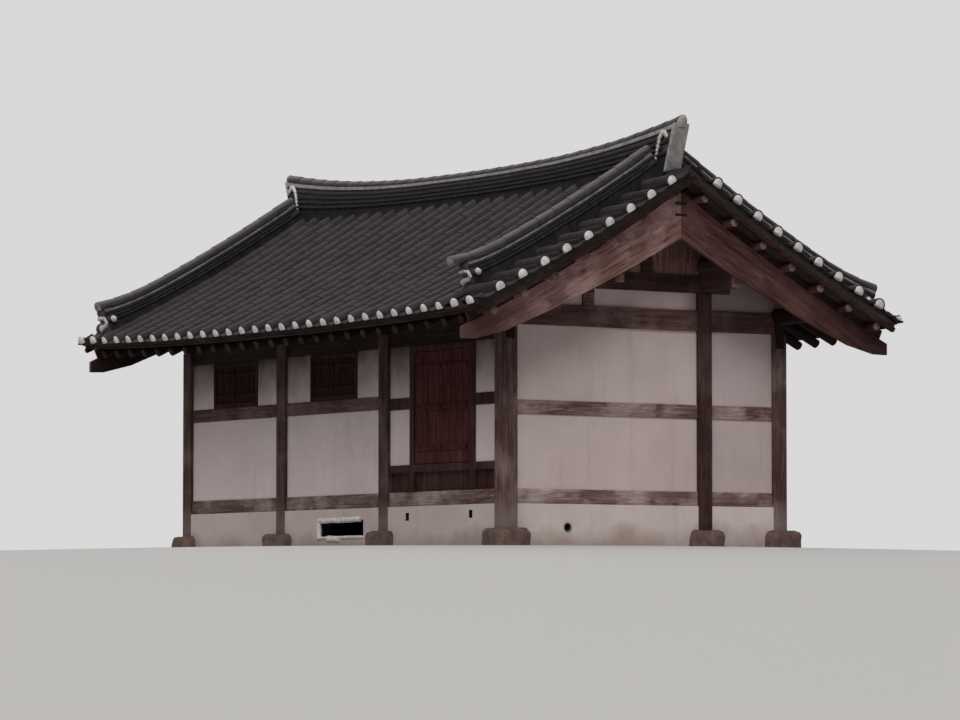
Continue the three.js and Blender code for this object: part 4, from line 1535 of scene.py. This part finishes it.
view = {
    "position": (46.119, -30.472, -0.791),
    "target": (0.12, 0, 2.3),
    "lens": 172,
    "background": (0.7, 0.69, 0.69, 1),
    "skyColour": (0.85, 0.84, 0.84, 1),
    "skyStrength": 0.22,
    # name: azimuth from the front towards the near gable, elevation, strength, softness
    "suns": {
        "keyLight": (60, 46, 1.52, 34),
        "frontLight": (14, 46, 0.75, 40),
        "rearLight": (245, 40, 0.8, 60),
    },
    # a level disc, then rings that each reach further and fall away
    "floorColour": (0.56, 0.545, 0.53, 1),
    "floorRadius": 4.6,
    "floorReach": 90,
    "ringGrowth": 1.12,
    "floorFall": (0.022, 0.0012),
}


def addCamera():
    data = bpy.data.cameras.new("camera")
    data.lens = view["lens"]
    data.sensor_width = 36
    data.clip_end = 400
    camera = linked("camera", data)
    camera.location = view["position"]
    away = Vector(view["target"]) - Vector(view["position"])
    camera.rotation_euler = away.to_track_quat("-Z", "Y").to_euler()
    bpy.context.scene.camera = camera


def addSun(name, azimuth, elevation, strength, softness):
    data = bpy.data.lights.new(name, "SUN")
    data.energy = strength
    data.angle = math.radians(softness)
    turn, height = math.radians(azimuth), math.radians(elevation)
    level = math.cos(height)
    toward = Vector((math.sin(turn) * level, -math.cos(turn) * level, math.sin(height)))
    linked(name, data).rotation_euler = toward.to_track_quat("Z", "Y").to_euler()


def floorDrop(reach):
    slope, curve = view["floorFall"]
    beyond = reach - view["floorRadius"]
    return -slope * beyond - curve * beyond ** 2


def addFloor():
    # level under the house, then falling gently away below the low viewpoint
    reach, growth = view["floorRadius"], view["ringGrowth"]
    bpy.ops.mesh.primitive_circle_add(vertices=96, radius=reach, fill_type="NGON")
    floor = bpy.context.object
    floor.name = "studioFloor"
    bpy.ops.object.mode_set(mode="EDIT")
    bpy.ops.mesh.select_mode(type="EDGE")
    bpy.ops.mesh.select_all(action="SELECT")
    while reach < view["floorReach"]:
        down = floorDrop(reach * growth) - floorDrop(reach)
        bpy.ops.mesh.extrude_edges_move(TRANSFORM_OT_translate={"value": (0, 0, down)})
        bpy.ops.transform.resize(value=(growth, growth, 1), center_override=(0, 0, 0))
        reach *= growth
    leaveEdit()
    floor.data.shade_smooth()
    material, tree, shader = newMaterial("paleFloor", 0.9)
    shader.inputs["Base Color"].default_value = view["floorColour"]
    floor.data.materials.append(material)


def addWorld():
    # one even tone behind the house, and a soft sky that lights it
    world = bpy.data.worlds.new("studio")
    world.use_nodes = True
    tree = world.node_tree
    sky = tree.nodes["Background"]
    sky.inputs["Color"].default_value = view["skyColour"]
    sky.inputs["Strength"].default_value = view["skyStrength"]
    behind = addNode(tree, "Background", {"Color": view["background"]})
    seen = addNode(tree, "LightPath").outputs["Is Camera Ray"]
    both = addNode(tree, "MixShader", {0: seen, 1: sky.outputs[0], 2: behind.outputs[0]})
    tree.links.new(both.outputs[0], tree.nodes["World Output"].inputs["Surface"])
    bpy.context.scene.world = world
    bpy.context.scene.view_settings.view_transform = "Standard"


addCamera()
for name, light in view["suns"].items():
    addSun(name, *light)
addFloor()
addWorld()
print("camera, light and floor set")

discard(followSlope, roofLattice)

# what still shows of the frame takes the finish of its material slot, the walls one of their own
plain = {
    "timber": wood["crossBeam"],
    "plaster": plaster["wall"],
    "base_plaster": plaster["base"],
    "roof_tile": tileRidge,
    "door_wood": wood["door"],
    "shutter_wood": wood["shutter"],
    "floor_mud": floorMud,
}
for name, node in nodes.items():
    if node.hide_render:
        continue
    for slot in node.material_slots:
        slot.material = plain.get(slot.material.name, wood["post"])
    # the front, door side and rear walls take the plaster with painted shade under the eaves
    if name.startswith(("front_wall", "door_side_wall", "rear_wall")):
        node.material_slots[0].material = plaster["eave"]
    # the rear bays of the gable walls take the darker plaster, as painted shade
    if name in ("near_wall_rear", "far_wall_rear"):
        node.material_slots[0].material = plaster["bay"]
